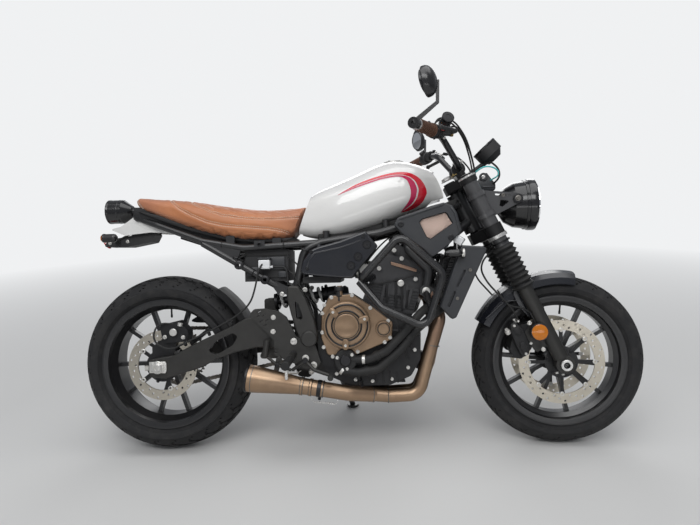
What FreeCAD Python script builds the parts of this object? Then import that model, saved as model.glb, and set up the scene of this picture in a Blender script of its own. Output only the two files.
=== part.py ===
import FreeCAD, Part
import os
from math import atan2, cos, degrees, pi, radians, sin, sqrt, tan

# A cafe racer motorcycle, parked on its side stand. Millimetres throughout.
# Every piece is drawn on the upright machine: x runs forward from the rear
# axle, y runs to the rider's left from the plane of the wheels, and z runs up
# from the ground. On its way out each piece is leaned over to the left onto
# the stand and moved to the shared origin on the ground.

# The stance
wheelbase = 1405.0
lean_angle = 10.5
bars_turned_right = 4.0
origin_ahead_of_rear_axle = 695.0
origin_left_of_wheel_plane = 195.0

# Wheels and tyres
front_tyre_radius = 300.0
front_tyre_width = 120.0
front_crown_radius = 62.0
rear_tyre_radius = 315.0
rear_tyre_width = 180.0
rear_crown_radius = 92.0
rim_lip_radius = 230.0
rim_seat_radius = 216.0
rim_well_radius = 199.0
rim_wall = 6.0
front_rim_half = 52.0
rear_rim_half = 79.0
tyre_wall = 10.0
spoke_pairs = 5
spoke_splay = 16.0
front_spoke_phase = 48.0
rear_spoke_phase = 55.0
spoke_width = 13.0
spoke_depth = 26.0
front_hub_radius = 36.0
front_hub_half = 52.0
rear_hub_radius = 48.0
rear_hub_half = 66.0
axle_radius = 12.5
axle_running_gap = 0.05
front_axle_half = 133.0
rear_axle_half = 150.0

# Brake discs
disc_thickness = 5.0
front_disc_radius = 146.0
front_disc_inner = 112.0
front_disc_y = 72.0
front_carrier_radius = 106.0
rear_disc_radius = 122.5
rear_disc_inner = 88.0
rear_disc_y = 99.0
disc_gap_in_caliper = 6.0
carrier_arm_width = 12.0
bobbin_radius = 7.5
disc_hole_radius = 4.0
front_disc_arms = 8

# Steering geometry
rake_angle = 25.8
fork_offset = 49.5
fork_half_spacing = 105.0
stem_radius = 16.0
stem_running_gap = 0.05
head_tube_radius = 31.0
head_tube_top_height = 905.0
head_tube_bottom_height = 768.0
yoke_gap = 7.0
top_yoke_thickness = 30.0
bottom_yoke_thickness = 38.0
yoke_boss_radius = 31.0

# Fork legs
fork_tube_radius = 20.5
fork_cover_radius = 26.5
fork_lower_radius = 25.0
fork_lower_top_height = 572.0
gaiter_top_height = 712.0
gaiter_bottom_height = 566.0
gaiter_small_radius = 30.0
gaiter_big_radius = 39.0
gaiter_folds = 9

# Handlebar and what it carries
bar_radius = 11.1
bar_clamp_radius = 14.0
bar_end_half = 375.0
bar_rise = 72.0
bar_ahead_of_axis = 47.0
bar_pullback = 153.0
grip_radius = 17.5
grip_length = 118.0
grip_ribs = 7
mirror_half_width = 38.0
mirror_half_height = 46.5
mirror_yaw = 24.0
mirror_tilt = 8.5
brake_hose_radius = 3.2
throttle_cable_radius = 2.8

# Lamps and gauge
headlight_radius = 88.0
headlight_center = (1303.0, 858.0)
gauge_radius = 47.0
gauge_depth = 38.0
tail_lamp_radius = 44.0
tail_lamp_height = 876.0

# Drive
chain_pitch = 15.875
rear_teeth = 43
front_teeth = 16
chain_y = 107.0
chain_width = 20.0
chain_plate_height = 14.0
chain_plate_thickness = 2.6
chain_roller_radius = 5.0
chain_tooth_gap = 5.0
sprocket_thickness = 7.0
countershaft = (612.0, 372.0)

# Frame
main_tube_radius = 15.0
rail_radius = 12.0
rail_half_spacing = 100.0
mount_tube_radius = 16.0
pivot_center = (520.0, 385.0)
pivot_plate_inner = 68.0
pivot_plate_outer = 90.0

# Side stand
stand_pivot = (600.0, 132.0, 262.0)
stand_reach = (55.0, 182.0)
stand_leg_radius = 11.0
stand_foot_radius = 24.0
stand_foot_thickness = 10.0
stand_fold_direction = (-275.0, 22.0, -25.0)
stand_bolt_radius = 8.0
stand_running_gap = 0.05

# Exhaust
header_radius = 23.5
muffler_radius = 45.0
muffler_neck_radius = 27.0
muffler_y = -172.0

# Guards
crash_bar_radius = 12.5
crash_bar_bend = 32.0

# Rear spring
spring_turns = 6
spring_radius = 24.0
spring_wire_radius = 5.5

# Values that follow from the ones above
lean = radians(lean_angle)
rake = radians(rake_angle)
front_hub_height = front_tyre_radius - front_crown_radius + front_crown_radius / cos(lean)
rear_hub_height = rear_tyre_radius - rear_crown_radius + rear_crown_radius / cos(lean)
front_hub = FreeCAD.Vector(wheelbase, 0, front_hub_height)
rear_hub = FreeCAD.Vector(0, 0, rear_hub_height)
across = FreeCAD.Vector(0, 1, 0)
up_the_fork = FreeCAD.Vector(-sin(rake), 0, cos(rake))
ahead_of_fork = FreeCAD.Vector(cos(rake), 0, sin(rake))
rear_pitch_radius = chain_pitch / (2 * sin(pi / rear_teeth))
front_pitch_radius = chain_pitch / (2 * sin(pi / front_teeth))


def point(x, y, z):
    return FreeCAD.Vector(x, y, z)


def joined(shapes):
    """One shape made of touching pieces."""
    first = shapes[0]
    if len(shapes) == 1:
        return first
    return first.fuse(shapes[1:]).removeSplitter()


def together(shapes):
    """Pieces that don't touch, kept in one sub-part."""
    return Part.makeCompound(shapes)


def mirrored(shape):
    return shape.mirror(point(0, 0, 0), across)


def longest(shape):
    """The largest solid that a cut leaves."""
    return max(shape.Solids, key=lambda solid: solid.Volume)


def both_sides(shape):
    return together([shape, mirrored(shape)])


def rod(start, end, radius):
    run = end - start
    return Part.makeCylinder(radius, run.Length, start, run)


def cone(start, end, start_radius, end_radius):
    run = end - start
    return Part.makeCone(start_radius, end_radius, run.Length, start, run)


def tube(start, end, outer, inner):
    return rod(start, end, outer).cut(rod(start, end, inner))


def block(x_span, y_span, z_span):
    size = [span[1] - span[0] for span in (x_span, y_span, z_span)]
    corner = point(x_span[0], y_span[0], z_span[0])
    return Part.makeBox(size[0], size[1], size[2], corner)


straight_enough = radians(0.5)


def rounded_edges(points, radius, closed):
    """Straight runs joined by tangent arcs at the corners."""
    count = len(points)
    corners = range(count) if closed else range(1, count - 1)
    arcs = {}
    for i in corners:
        here = points[i]
        to_last = points[i - 1] - here
        to_next = points[(i + 1) % count] - here
        half = to_last.getAngle(to_next) / 2
        if pi / 2 - half < straight_enough:
            continue
        shorter = min(to_last.Length, to_next.Length)
        bend = min(radius, 0.45 * shorter * tan(half))
        to_last.normalize()
        to_next.normalize()
        inward = (to_last + to_next).normalize()
        back = bend / tan(half)
        middle = here + inward * (bend / sin(half) - bend)
        arcs[i] = (here + to_last * back, middle, here + to_next * back)
    edges = []
    spans = range(count) if closed else range(count - 1)
    for i in spans:
        following = (i + 1) % count
        start = arcs[i][2] if i in arcs else points[i]
        end = arcs[following][0] if following in arcs else points[following]
        edges.append(Part.makeLine(start, end))
        if following in arcs:
            edges.append(Part.Arc(*arcs[following]).toShape())
    return edges


def bent_rod(points, radius, bend):
    """A round bar or a filled tube along straight runs and tangent arcs."""
    path = Part.Wire(rounded_edges(points, bend, False))
    start_run = points[1] - points[0]
    section = Part.Wire([Part.makeCircle(radius, points[0], start_run)])
    return path.makePipeShell([section], True, False)


def side_plate(outline, near_y, far_y, corner):
    """A plate whose outline is given as (x, z) pairs, between two y planes."""
    points = [point(x, near_y, z) for x, z in outline]
    face = Part.Face(Part.Wire(rounded_edges(points, corner, True)))
    return face.extrude(point(0, far_y - near_y, 0))


def spun(profile, hub, turn=360.0, start_angle=0.0):
    """Turn a closed (radius, y) profile about the cross axis through a hub."""
    points = [point(hub.x + radius, y, hub.z) for radius, y in profile]
    points.append(points[0])
    face = Part.Face(Part.makePolygon(points))
    solid = face.revolve(hub, across, -turn)
    if start_angle:
        solid.rotate(hub, across, -start_angle)
    return solid


def ring(hub, y_span, outer, inner):
    start = point(hub.x, y_span[0], hub.z)
    end = point(hub.x, y_span[1], hub.z)
    return tube(start, end, outer, inner)


def disc(hub, y_span, radius):
    start = point(hub.x, y_span[0], hub.z)
    end = point(hub.x, y_span[1], hub.z)
    return rod(start, end, radius)


def rib(bottom, top, half_width, lower_bulge, upper_bulge):
    """A closed cross-section standing on a bottom point and reaching a top one."""
    middle = (bottom + top) * 0.5
    upward = (top - bottom) * 0.5
    steps = 12
    points = []
    for i in range(steps):
        angle = 2 * pi * i / steps
        power = upper_bulge if i < steps / 2 else lower_bulge
        side = abs(cos(angle)) ** (2 / power) * (1 if cos(angle) > 0 else -1)
        rise = abs(sin(angle)) ** (2 / power) * (1 if sin(angle) > 0 else -1)
        points.append(middle + across * (half_width * side) + upward * rise)
    curve = Part.BSplineCurve()
    curve.interpolate(points, True)
    return Part.Wire([curve.toShape()])


def body_through(ribs):
    """A solid lofted through (bottom x, z, top x, z, half width, bulges)."""
    sections = []
    for bottom_x, bottom_z, top_x, top_z, half_width, lower, upper in ribs:
        bottom = point(bottom_x, 0, bottom_z)
        top = point(top_x, 0, top_z)
        sections.append(rib(bottom, top, half_width, lower, upper))
    return Part.makeLoft(sections, True, False)


def on_fork_line(height, y):
    """The point of a fork leg's centre line at a height."""
    ahead = (height - front_hub_height) * tan(rake)
    return point(wheelbase - ahead, y, height)


def on_steering_axis(height):
    leg = on_fork_line(height, 0)
    return point(leg.x - fork_offset / cos(rake), 0, height)


def parked(shape):
    """Lean a piece over onto the stand and move it to the shared origin."""
    shape = shape.copy()
    shape.rotate(point(0, 0, 0), point(1, 0, 0), -lean_angle)
    shape.translate(point(-origin_ahead_of_rear_axle, -origin_left_of_wheel_plane, 0))
    return shape


def tyre(hub, radius, width, crown, rim_half):
    """A hollow tyre with a round crown, its beads on the rim's seats."""
    half = width / 2
    shoulder = radius - crown
    bead_y = rim_half - rim_wall
    widest = rim_lip_radius + 0.42 * (radius - rim_lip_radius)

    def outside(sign):
        return [
            (rim_seat_radius, sign * bead_y),
            (rim_lip_radius + 4, sign * bead_y),
            (rim_lip_radius + 12, sign * (bead_y + 0.7 * (half - bead_y))),
            (widest, sign * half),
        ]

    def crown_points(sweep_radius, steps, reach):
        arc = []
        for i in range(steps + 1):
            angle = reach * (1 - 2 * i / steps)
            arc.append((shoulder + sweep_radius * cos(angle), sweep_radius * sin(angle)))
        return arc

    reach = min(atan2(half, widest - shoulder), 1.25)
    outer = outside(1) + crown_points(crown, 8, reach)[1:-1] + outside(-1)[::-1]
    inner_crown = crown - tyre_wall
    inner = crown_points(inner_crown, 2, reach * 0.86)
    inner.append((rim_seat_radius, -(bead_y - tyre_wall)))
    inner.insert(0, (rim_seat_radius, bead_y - tyre_wall))
    return spun(outer + inner[::-1], hub)


def rim_barrel(hub, half):
    """The barrel: two lips, two bead seats and the well between them."""
    seat_in = half - rim_wall
    well = half * 0.42
    profile = [
        (rim_lip_radius, half),
        (rim_lip_radius, seat_in),
        (rim_seat_radius, seat_in),
        (rim_seat_radius, seat_in - 16),
        (rim_well_radius, well),
        (rim_well_radius, -well),
        (rim_seat_radius, -(seat_in - 16)),
        (rim_seat_radius, -seat_in),
        (rim_lip_radius, -seat_in),
        (rim_lip_radius, -half),
        (rim_seat_radius - rim_wall, -half + 3),
        (rim_seat_radius - rim_wall - 2, -(seat_in - 16)),
        (rim_well_radius - rim_wall, -well),
        (rim_well_radius - rim_wall, well),
        (rim_seat_radius - rim_wall - 2, seat_in - 16),
        (rim_seat_radius - rim_wall, half - 3),
    ]
    return spun(profile, hub)


def cast_wheel(hub, half, hub_radius, hub_half, phase):
    """A cast wheel with pairs of slim spokes."""
    pieces = [rim_barrel(hub, half)]
    pieces.append(disc(hub, (-hub_half, hub_half), hub_radius))
    reach = rim_well_radius - 2
    for i in range(spoke_pairs):
        middle = radians(phase + i * 360 / spoke_pairs)
        for side in (-1, 1):
            root_angle = middle + side * radians(spoke_splay * 0.55)
            tip_angle = middle + side * radians(spoke_splay)
            root = point(hub_radius * 0.8 * cos(root_angle), 0, hub_radius * 0.8 * sin(root_angle))
            tip = point(reach * cos(tip_angle), 0, reach * sin(tip_angle))
            run = tip - root
            spoke = Part.makeBox(run.Length, spoke_depth, spoke_width)
            spoke.translate(point(0, -spoke_depth / 2, -spoke_width / 2))
            spoke.rotate(point(0, 0, 0), across, -degrees(atan2(run.z, run.x)))
            spoke.translate(hub + root)
            pieces.append(spoke)
    wheel = joined(pieces)
    bore = disc(hub, (-hub_half - 1, hub_half + 1), axle_radius + axle_running_gap)
    return wheel.cut(bore)


def brake_disc(hub, y, radius, inner, carrier_radius, root_radius, arms):
    """A floating disc: ring, bobbins and a carrier with open arms."""
    span = (y - disc_thickness / 2, y + disc_thickness / 2)
    pieces = [ring(hub, span, radius, inner)]
    pieces.append(ring(hub, span, root_radius + 14, root_radius))
    for i in range(arms):
        angle = 2 * pi * i / arms
        outward = point(cos(angle), 0, sin(angle))
        arm = Part.makeBox(carrier_radius - root_radius, disc_thickness, carrier_arm_width)
        arm.translate(point(root_radius + 6, -disc_thickness / 2, -carrier_arm_width / 2))
        arm.rotate(point(0, 0, 0), across, -degrees(angle))
        arm.translate(point(hub.x, y, hub.z))
        pieces.append(arm)
        seat = hub + outward * inner
        bobbin_span = (span[0] - 1.5, span[1] + 1.5)
        pieces.append(disc(seat, bobbin_span, bobbin_radius))
    return joined(pieces)


def front_discs():
    right = brake_disc(front_hub, -front_disc_y, front_disc_radius, front_disc_inner,
                       front_carrier_radius, front_hub_radius + 6, front_disc_arms)
    right = right.cut(disc_holes(front_hub, -front_disc_y, (120.5, 129.0, 137.5), 14))
    flange = ring(front_hub, (-front_disc_y - disc_thickness / 2, -front_hub_half),
                  front_hub_radius + 12, front_hub_radius - 6)
    return both_sides(joined([right, flange]))


def rear_disc():
    plate = brake_disc(rear_hub, -rear_disc_y, rear_disc_radius, rear_disc_inner,
                       rear_disc_inner - 4, rear_hub_radius - 4, 5)
    plate = plate.cut(disc_holes(rear_hub, -rear_disc_y, (96.0, 105.5, 115.0), 12))
    flange = ring(rear_hub, (-rear_disc_y - disc_thickness / 2, -rear_hub_half),
                  rear_hub_radius + 6, rear_hub_radius - 8)
    return joined([plate, flange])


def rear_sprocket():
    """A toothed ring kept clear of the chain's rollers, on its carrier."""
    tip = rear_pitch_radius - chain_roller_radius - chain_tooth_gap
    root = tip - 7
    outline = []
    for i in range(rear_teeth):
        angle = 2 * pi * i / rear_teeth
        step = 2 * pi / rear_teeth
        for part, radius in ((-0.3, root), (-0.1, tip), (0.1, tip), (0.3, root)):
            around = angle + part * step
            outline.append(point(radius * cos(around), 0, radius * sin(around)))
    outline.append(outline[0])
    plate = Part.Face(Part.makePolygon(outline)).extrude(point(0, sprocket_thickness, 0))
    plate.translate(point(rear_hub.x, chain_y - sprocket_thickness / 2, rear_hub.z))
    carrier = disc(rear_hub, (rear_hub_half, chain_y - sprocket_thickness / 2), 62)
    whole = joined([plate, carrier])
    for i in range(5):
        angle = 2 * pi * (i + 0.5) / 5
        seat = rear_hub + point(cos(angle), 0, sin(angle)) * 78
        whole = whole.cut(disc(seat, (chain_y - 10, chain_y + 10), 11))
    return whole.cut(disc(rear_hub, (0, 200), axle_radius + 1))


def axle_pin(hub, half, head):
    """A wheel's axle, hollow at the ends."""
    pin = disc(hub, (-half, half), axle_radius)
    right_head = disc(hub, (-half, -half + 8), head)
    left_nut = disc(hub, (half - 8, half), head + 2)
    whole = joined([pin, right_head, left_nut])
    return whole.cut(disc(hub, (-half - 1, -half + 25), 7))


def fork_tubes():
    """The tubes, with slip-on covers between the clamps and above the bellows."""
    top = on_fork_line(955, fork_half_spacing)
    bottom = on_fork_line(gaiter_bottom_height + 30, fork_half_spacing)
    leg = rod(bottom, top, fork_tube_radius)
    cap = rod(top, top + up_the_fork * 7, fork_tube_radius - 5)
    upper_cover = rod(on_fork_line(784, fork_half_spacing), on_fork_line(932, fork_half_spacing),
                      fork_cover_radius)
    lower_cover = rod(on_fork_line(gaiter_top_height + 0.5, fork_half_spacing),
                      on_fork_line(748, fork_half_spacing), fork_cover_radius)
    return both_sides(joined([leg, cap, upper_cover, lower_cover]))


def fork_gaiters():
    """Rubber bellows round the sliding part of each leg."""
    foot = on_fork_line(gaiter_bottom_height, fork_half_spacing)
    head = on_fork_line(gaiter_top_height, fork_half_spacing)
    run = (head - foot).Length
    fold = run / gaiter_folds
    inner = fork_tube_radius + 0.5
    profile = [point(inner, 0, 0)]
    for i in range(gaiter_folds):
        profile.append(point(gaiter_small_radius, 0, i * fold))
        profile.append(point(gaiter_big_radius, 0, (i + 0.5) * fold))
    profile.append(point(gaiter_small_radius, 0, run))
    profile.append(point(inner, 0, run))
    profile.append(profile[0])
    bellows = Part.Face(Part.makePolygon(profile)).revolve(
        point(0, 0, 0), point(0, 0, 1), 360)
    bellows.rotate(point(0, 0, 0), across, -rake_angle)
    bellows.translate(foot)
    socket = rod(foot - up_the_fork * 5, foot + up_the_fork * 45, fork_lower_radius + 0.5)
    return both_sides(bellows.cut(socket))


def fork_lowers():
    """Sliders with axle lugs, caliper lugs and round side reflectors."""
    axle_end = point(wheelbase, fork_half_spacing, front_hub_height)
    top = on_fork_line(fork_lower_top_height, fork_half_spacing)
    slider = rod(axle_end + up_the_fork * 24, top, fork_lower_radius)
    lug = disc(front_hub, (fork_half_spacing - 22, fork_half_spacing + 20), 31)
    caliper_lug = side_plate(
        [(1345, 440), (1372, 380), (1312, 340), (1272, 405), (1300, 452)],
        fork_half_spacing - 14, fork_half_spacing + 4, 10)
    reflector_arm = block((1312, 1345), (fork_half_spacing + 4, fork_half_spacing + 26), (405, 425))
    reflector = disc(point(1318, 0, 415), (fork_half_spacing + 22, fork_half_spacing + 32), 30)
    leg = joined([slider, lug, caliper_lug, reflector_arm, reflector])
    tube_socket = rod(on_fork_line(gaiter_bottom_height + 28, fork_half_spacing),
                      top + up_the_fork * 5, fork_tube_radius)
    leg = leg.cut(tube_socket)
    leg = leg.cut(disc(front_hub, (0, 200), axle_radius))
    return both_sides(leg)


def yoke(centre, thickness, reach):
    """A clamp across both legs: a central body and an ear round each leg."""
    leg_centre = centre + point(cos(rake), 0, sin(rake)) * fork_offset
    half = up_the_fork * (thickness / 2)
    ears = []
    for side in (-1, 1):
        ear_middle = leg_centre + across * (side * fork_half_spacing)
        ears.append(rod(ear_middle - half, ear_middle + half, yoke_boss_radius))
    corners = [
        centre + point(-cos(rake), 0, -sin(rake)) * 26 + across * -38,
        centre + point(-cos(rake), 0, -sin(rake)) * 26 + across * 38,
        leg_centre + across * (fork_half_spacing - 6) + point(-cos(rake), 0, -sin(rake)) * 24,
        leg_centre + across * (fork_half_spacing - 6) + point(cos(rake), 0, sin(rake)) * 14,
        leg_centre + point(cos(rake), 0, sin(rake)) * reach,
        leg_centre - across * (fork_half_spacing - 6) + point(cos(rake), 0, sin(rake)) * 14,
        leg_centre - across * (fork_half_spacing - 6) + point(-cos(rake), 0, -sin(rake)) * 24,
    ]
    face = Part.Face(Part.Wire(rounded_edges(corners, 12, True)))
    face.translate(half * -1)
    web = face.extrude(half * 2)
    return joined([web] + ears)


def fork_yokes():
    """Both clamps and the stem that turns in the head tube."""
    above = yoke_gap + top_yoke_thickness / 2
    top_centre = on_steering_axis(head_tube_top_height) + up_the_fork * above
    below = yoke_gap + bottom_yoke_thickness / 2
    low_centre = on_steering_axis(head_tube_bottom_height) - up_the_fork * below
    stem = rod(low_centre, top_centre + up_the_fork * 20, stem_radius)
    nut = rod(top_centre, top_centre + up_the_fork * 24, 21)
    pieces = [yoke(top_centre, top_yoke_thickness, 22), yoke(low_centre, bottom_yoke_thickness, 20)]
    riser = bar_rise - yoke_gap - top_yoke_thickness + 12
    for side in (-1, 1):
        foot = bar_clamp_middle() + across * (side * 38)
        pieces.append(rod(foot - up_the_fork * riser, foot, 17))
        pieces.append(rod(foot - across * 14, foot + across * 14, 24))
    whole = joined(pieces + [stem, nut])
    legs = []
    for side in (-1, 1):
        legs.append(rod(on_fork_line(560, side * fork_half_spacing),
                        on_fork_line(1000, side * fork_half_spacing), fork_tube_radius))
    bar = rod(bar_clamp_middle() - across * 80, bar_clamp_middle() + across * 80, bar_clamp_radius)
    return whole.cut(together(legs)).cut(bar)


def bar_clamp_middle():
    """Centre of the handlebar in its clamps, above the top yoke."""
    over_stem = on_steering_axis(head_tube_top_height) + up_the_fork * bar_rise
    return over_stem + ahead_of_fork * bar_ahead_of_axis


def bar_points():
    """Centre line of the right half of the handlebar, outwards."""
    middle = bar_clamp_middle()
    return [
        middle,
        middle + point(0, -84, 0),
        middle + point(-58, -150, 84),
        middle + point(-82, -210, 97),
        point(middle.x - bar_pullback, -bar_end_half, middle.z + 88),
    ]


def handlebar():
    """A one-piece tapered bar, thick in the clamps."""
    right = bar_points()
    left = [point(p.x, -p.y, p.z) for p in reversed(right)]
    path = left + right[1:]
    bar = bent_rod(path, bar_radius, 60)
    middle = bar_clamp_middle()
    thick = rod(middle - across * 57, middle + across * 57, bar_clamp_radius)
    return joined([bar, thick])


def grip_axis():
    """Outer end of the right grip and the unit direction inwards."""
    right = bar_points()
    inward = (right[-2] - right[-1]).normalize()
    return right[-1], inward


def grips():
    """Ribbed rubber grips with round bar-end weights."""
    end, inward = grip_axis()
    grip = rod(end, end + inward * grip_length, grip_radius)
    pieces = [grip, rod(end + inward * (grip_length - 5), end + inward * grip_length, grip_radius + 5)]
    for i in range(grip_ribs):
        start = end + inward * (grip_length - 14) * (i / grip_ribs)
        pieces.append(rod(start, start + inward * 5, grip_radius + 1.8))
    pieces.append(rod(end - inward * 8, end, 15))
    whole = joined(pieces)
    whole = whole.cut(rod(end + inward * 2, end + inward * 200, bar_radius))
    return both_sides(whole.cut(made["handlebar"]))


def controls():
    """Switch housings, levers and the front brake's reservoir."""
    end, inward = grip_axis()
    bore = rod(end, end + inward * 260, bar_radius)
    start = grip_length + 2
    housing = rod(end + inward * start, end + inward * (start + 40), 23)
    housing = softened(housing, 4, lambda middle: True)
    pod = rod(end + inward * (start + 20), end + inward * (start + 20) + point(-20, 10, 26), 13)
    clamp = rod(end + inward * (start + 43), end + inward * (start + 66), 19)
    clamp_middle = end + inward * (start + 54)
    perch = clamp_middle + point(44, 0, -2)
    arm = bent_rod([clamp_middle + point(14, 0, 0), perch], 12, 10)
    tip = end + inward * 6 + point(66, 0, -10)
    lever = bent_rod([perch, perch + point(16, -34, -4), tip], 6.5, 30)
    knob = Part.makeSphere(9, tip)
    bridge = rod(end + inward * (start + 36), end + inward * (start + 47), 17)
    right = joined([housing, pod, bridge, clamp, arm, lever, knob]).cut(bore).cut(made["handlebar"])
    left = mirrored(right)
    cup = rod(perch + point(-22, -8, 24), perch + point(-12, -42, 38), 19)
    neck = rod(perch + point(-4, -2, 0), perch + point(-16, -20, 28), 9)
    return together([joined([right, neck, cup]).cut(made["handlebar"]), left])


def mirror_set():
    """Bar-end mirrors: a clamp disc, a flat bent strap and an egg-shaped bowl."""
    end, inward = grip_axis()
    strap_y = -bar_end_half - 33
    clamp = rod(end - inward * 8.2, end - inward * 36, 17)
    clamp = clamp.cut(rod(end - inward * 30, end - inward * 50, 6))
    outer = end - inward * 30
    elbow_x, elbow_z = 974, 1133
    strap = side_plate([(outer.x - 4, outer.z + 6), (outer.x + 4, outer.z - 6), (elbow_x + 5, elbow_z - 3),
                        (elbow_x + 7, elbow_z + 64), (elbow_x - 4, elbow_z + 64), (elbow_x - 5, elbow_z + 2)],
                       strap_y - 2, strap_y + 4, 2)
    turned = radians(mirror_yaw)
    centre = point(946, strap_y - 2, 1194)
    facing = point(-cos(turned), sin(turned), 0)
    sections = []
    for depth, share in ((-7, 1.0), (-1, 1.0), (8, 0.95), (17, 0.79), (24, 0.52), (27, 0.24)):
        oval = Part.Ellipse(point(0, 0, 0), share * mirror_half_height, share * mirror_half_width)
        section = Part.Wire([oval.toShape()])
        section.rotate(point(0, 0, 0), across, 90)
        section.translate(point(depth, 0, 0))
        sections.append(section)
    head = Part.makeLoft(sections, True, False)
    head.rotate(point(0, 0, 0), point(0, 0, 1), -mirror_yaw)
    head.rotate(point(0, 0, 0), point(0, 1, 0), -mirror_tilt)
    head.translate(centre)
    pin = rod(point(elbow_x + 2, strap_y + 1, 1190), centre - facing * 2, 5)
    return both_sides(joined([strap, head, clamp, pin]))


def gauge():
    """A round instrument tilted to the rider, on its bracket."""
    facing = point(-sin(radians(42)), 0, cos(radians(42)))
    middle = point(1181, 0, 1056)
    case = rod(middle - facing * (gauge_depth / 2), middle + facing * (gauge_depth / 2), gauge_radius)
    back = cone(middle - facing * (gauge_depth / 2 + 20), middle - facing * (gauge_depth / 2),
                gauge_radius * 0.55, gauge_radius * 0.92)
    foot = gauge_foot()
    stay = bent_rod([foot, foot + point(34, 0, 22), middle - facing * (gauge_depth / 2 + 8)], 9, 14)
    whole = joined([case, back, stay]).cut(made["fork_yokes"])
    return whole.cut(rod(middle + facing * (gauge_depth / 2 - 4),
                         middle + facing * (gauge_depth / 2 + 4), gauge_radius - 6))


def gauge_foot():
    above = yoke_gap + top_yoke_thickness
    top_centre = on_steering_axis(head_tube_top_height) + up_the_fork * above
    return top_centre + point(cos(rake), 0, sin(rake)) * (fork_offset + 6)


def headlight():
    """The lamp's bowl, its rim and the slotted plates that hold it."""
    x, z = headlight_center
    profile = [(0, -92), (34, -90), (62, -72), (80, -40), (headlight_radius - 2, 0),
               (headlight_radius, 2), (headlight_radius, 26), (headlight_radius - 6, 32),
               (headlight_radius - 12, 32), (headlight_radius - 12, 14), (0, 14)]
    points = [point(x + along, 0, z + radius) for radius, along in profile]
    points.append(points[0])
    bowl = Part.Face(Part.makePolygon(points)).revolve(point(x, 0, z), point(1, 0, 0), 360)
    plate = side_plate([(1122, 908), (1262, 893), (1278, 872), (1262, 855), (1150, 800)],
                       fork_half_spacing - 8, fork_half_spacing - 3, 9)
    upper_slot = side_plate([(1186, 893), (1240, 887), (1240, 881), (1186, 887)],
                            fork_half_spacing - 10, fork_half_spacing, 2.5)
    window = side_plate([(1204, 870), (1236, 866), (1210, 846), (1200, 850)],
                        fork_half_spacing - 10, fork_half_spacing, 3)
    plate = plate.cut(upper_slot).cut(window)
    ear = rod(point(1262, 70, 873), point(1262, fork_half_spacing, 873), 9)
    cover = rod(on_fork_line(700, fork_half_spacing), on_fork_line(960, fork_half_spacing),
                fork_cover_radius)
    collars = []
    for height in (812, 880):
        low = on_fork_line(height, fork_half_spacing)
        collars.append(rod(low, low + up_the_fork * 16, fork_cover_radius + 5))
    holder = joined([plate, ear] + collars).cut(cover)
    return joined([bowl, holder, mirrored(holder)])


def headlight_lens():
    x, z = headlight_center
    profile = [(0, 14.2), (headlight_radius - 12.4, 14.2), (headlight_radius - 12.4, 26),
               (headlight_radius - 34, 34), (30, 39), (0, 40)]
    points = [point(x + along, 0, z + radius) for radius, along in profile]
    points.append(points[0])
    return Part.Face(Part.makePolygon(points)).revolve(point(x, 0, z), point(1, 0, 0), 360)


def front_fender():
    """A short mudguard over the front tyre, with stays to the fork legs."""
    skin = 3.0
    crown = front_tyre_radius + 14
    outer = [(crown - 42, 69), (crown - 20, 66), (crown - 4, 48), (crown + 3, 22), (crown + 5, 0)]
    outer = outer + [(radius, -y) for radius, y in reversed(outer[:-1])]
    inner = [(radius - skin, y * 0.955) for radius, y in outer]
    shell = spun(outer + inner[::-1], front_hub, 74, 79)
    bracket = side_plate([(1240, 552), (1285, 560), (1325, 480), (1298, 455), (1262, 500)],
                         67, fork_half_spacing - fork_lower_radius + 3, 12)
    bracket = bracket.cut(spun(outer + inner[::-1], front_hub, 74, 79))
    legs = rod(point(wheelbase, fork_half_spacing, front_hub_height),
               on_fork_line(900, fork_half_spacing), fork_lower_radius)
    bracket = bracket.cut(legs)
    stay = bent_rod([point(1150, 71, 455), point(1215, 74, 515), point(1262, 76, 520)], 3, 20)
    pieces = [shell, bracket, mirrored(bracket), stay, mirrored(stay)]
    return joined(pieces)


def front_calipers():
    """Radially bolted calipers that straddle each front disc."""
    half_gap = disc_thickness / 2 + disc_gap_in_caliper
    body = side_plate([(1262, 438), (1318, 442), (1322, 410), (1296, 352), (1262, 318),
                       (1236, 324), (1224, 352), (1238, 405)],
                      front_disc_y - half_gap - 20, front_disc_y + half_gap + 24, 12)
    slot = disc(front_hub, (front_disc_y - half_gap, front_disc_y + half_gap),
                front_disc_radius + 7)
    body = body.cut(slot)
    keep_out = disc(front_hub, (0, 90), front_disc_inner - 26)
    body = body.cut(keep_out)
    return both_sides(body.cut(fork_lowers()))


def brake_hoses():
    """From the bar to a splitter on the lower yoke, and on to each caliper."""
    splitter = point(1205, 0, 778)
    block_shape = block((splitter.x - 16, splitter.x + 10), (-14, 14), (splitter.z - 12, splitter.z + 12))
    upper = hose("front brake line, upper", [
        point(1014, -222, 1092),
        point(1046, -186, 1116),
        point(1086, -128, 1082),
        point(1116, -84, 1012),
        point(1128, -66, 940),
        point(1152, -50, 866),
        point(1188, -20, 824),
        splitter,
    ], brake_hose_radius)
    lower = hose("front brake line, lower", [
        splitter,
        point(1212, -46, 764),
        point(1196, -56, 706),
        point(1148, -66, 668),
        point(1132, -92, 630),
        point(1150, -118, 586),
        point(1196, -124, 534),
        point(1242, -122, 482),
        point(1264, -96, 420),
    ], brake_hose_radius)
    whole = joined([block_shape.cut(made["fork_yokes"]), upper, lower, mirrored(lower)])
    return whole.cut(made["front_calipers"]).cut(made["controls"]).cut(made["fork_yokes"])


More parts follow.
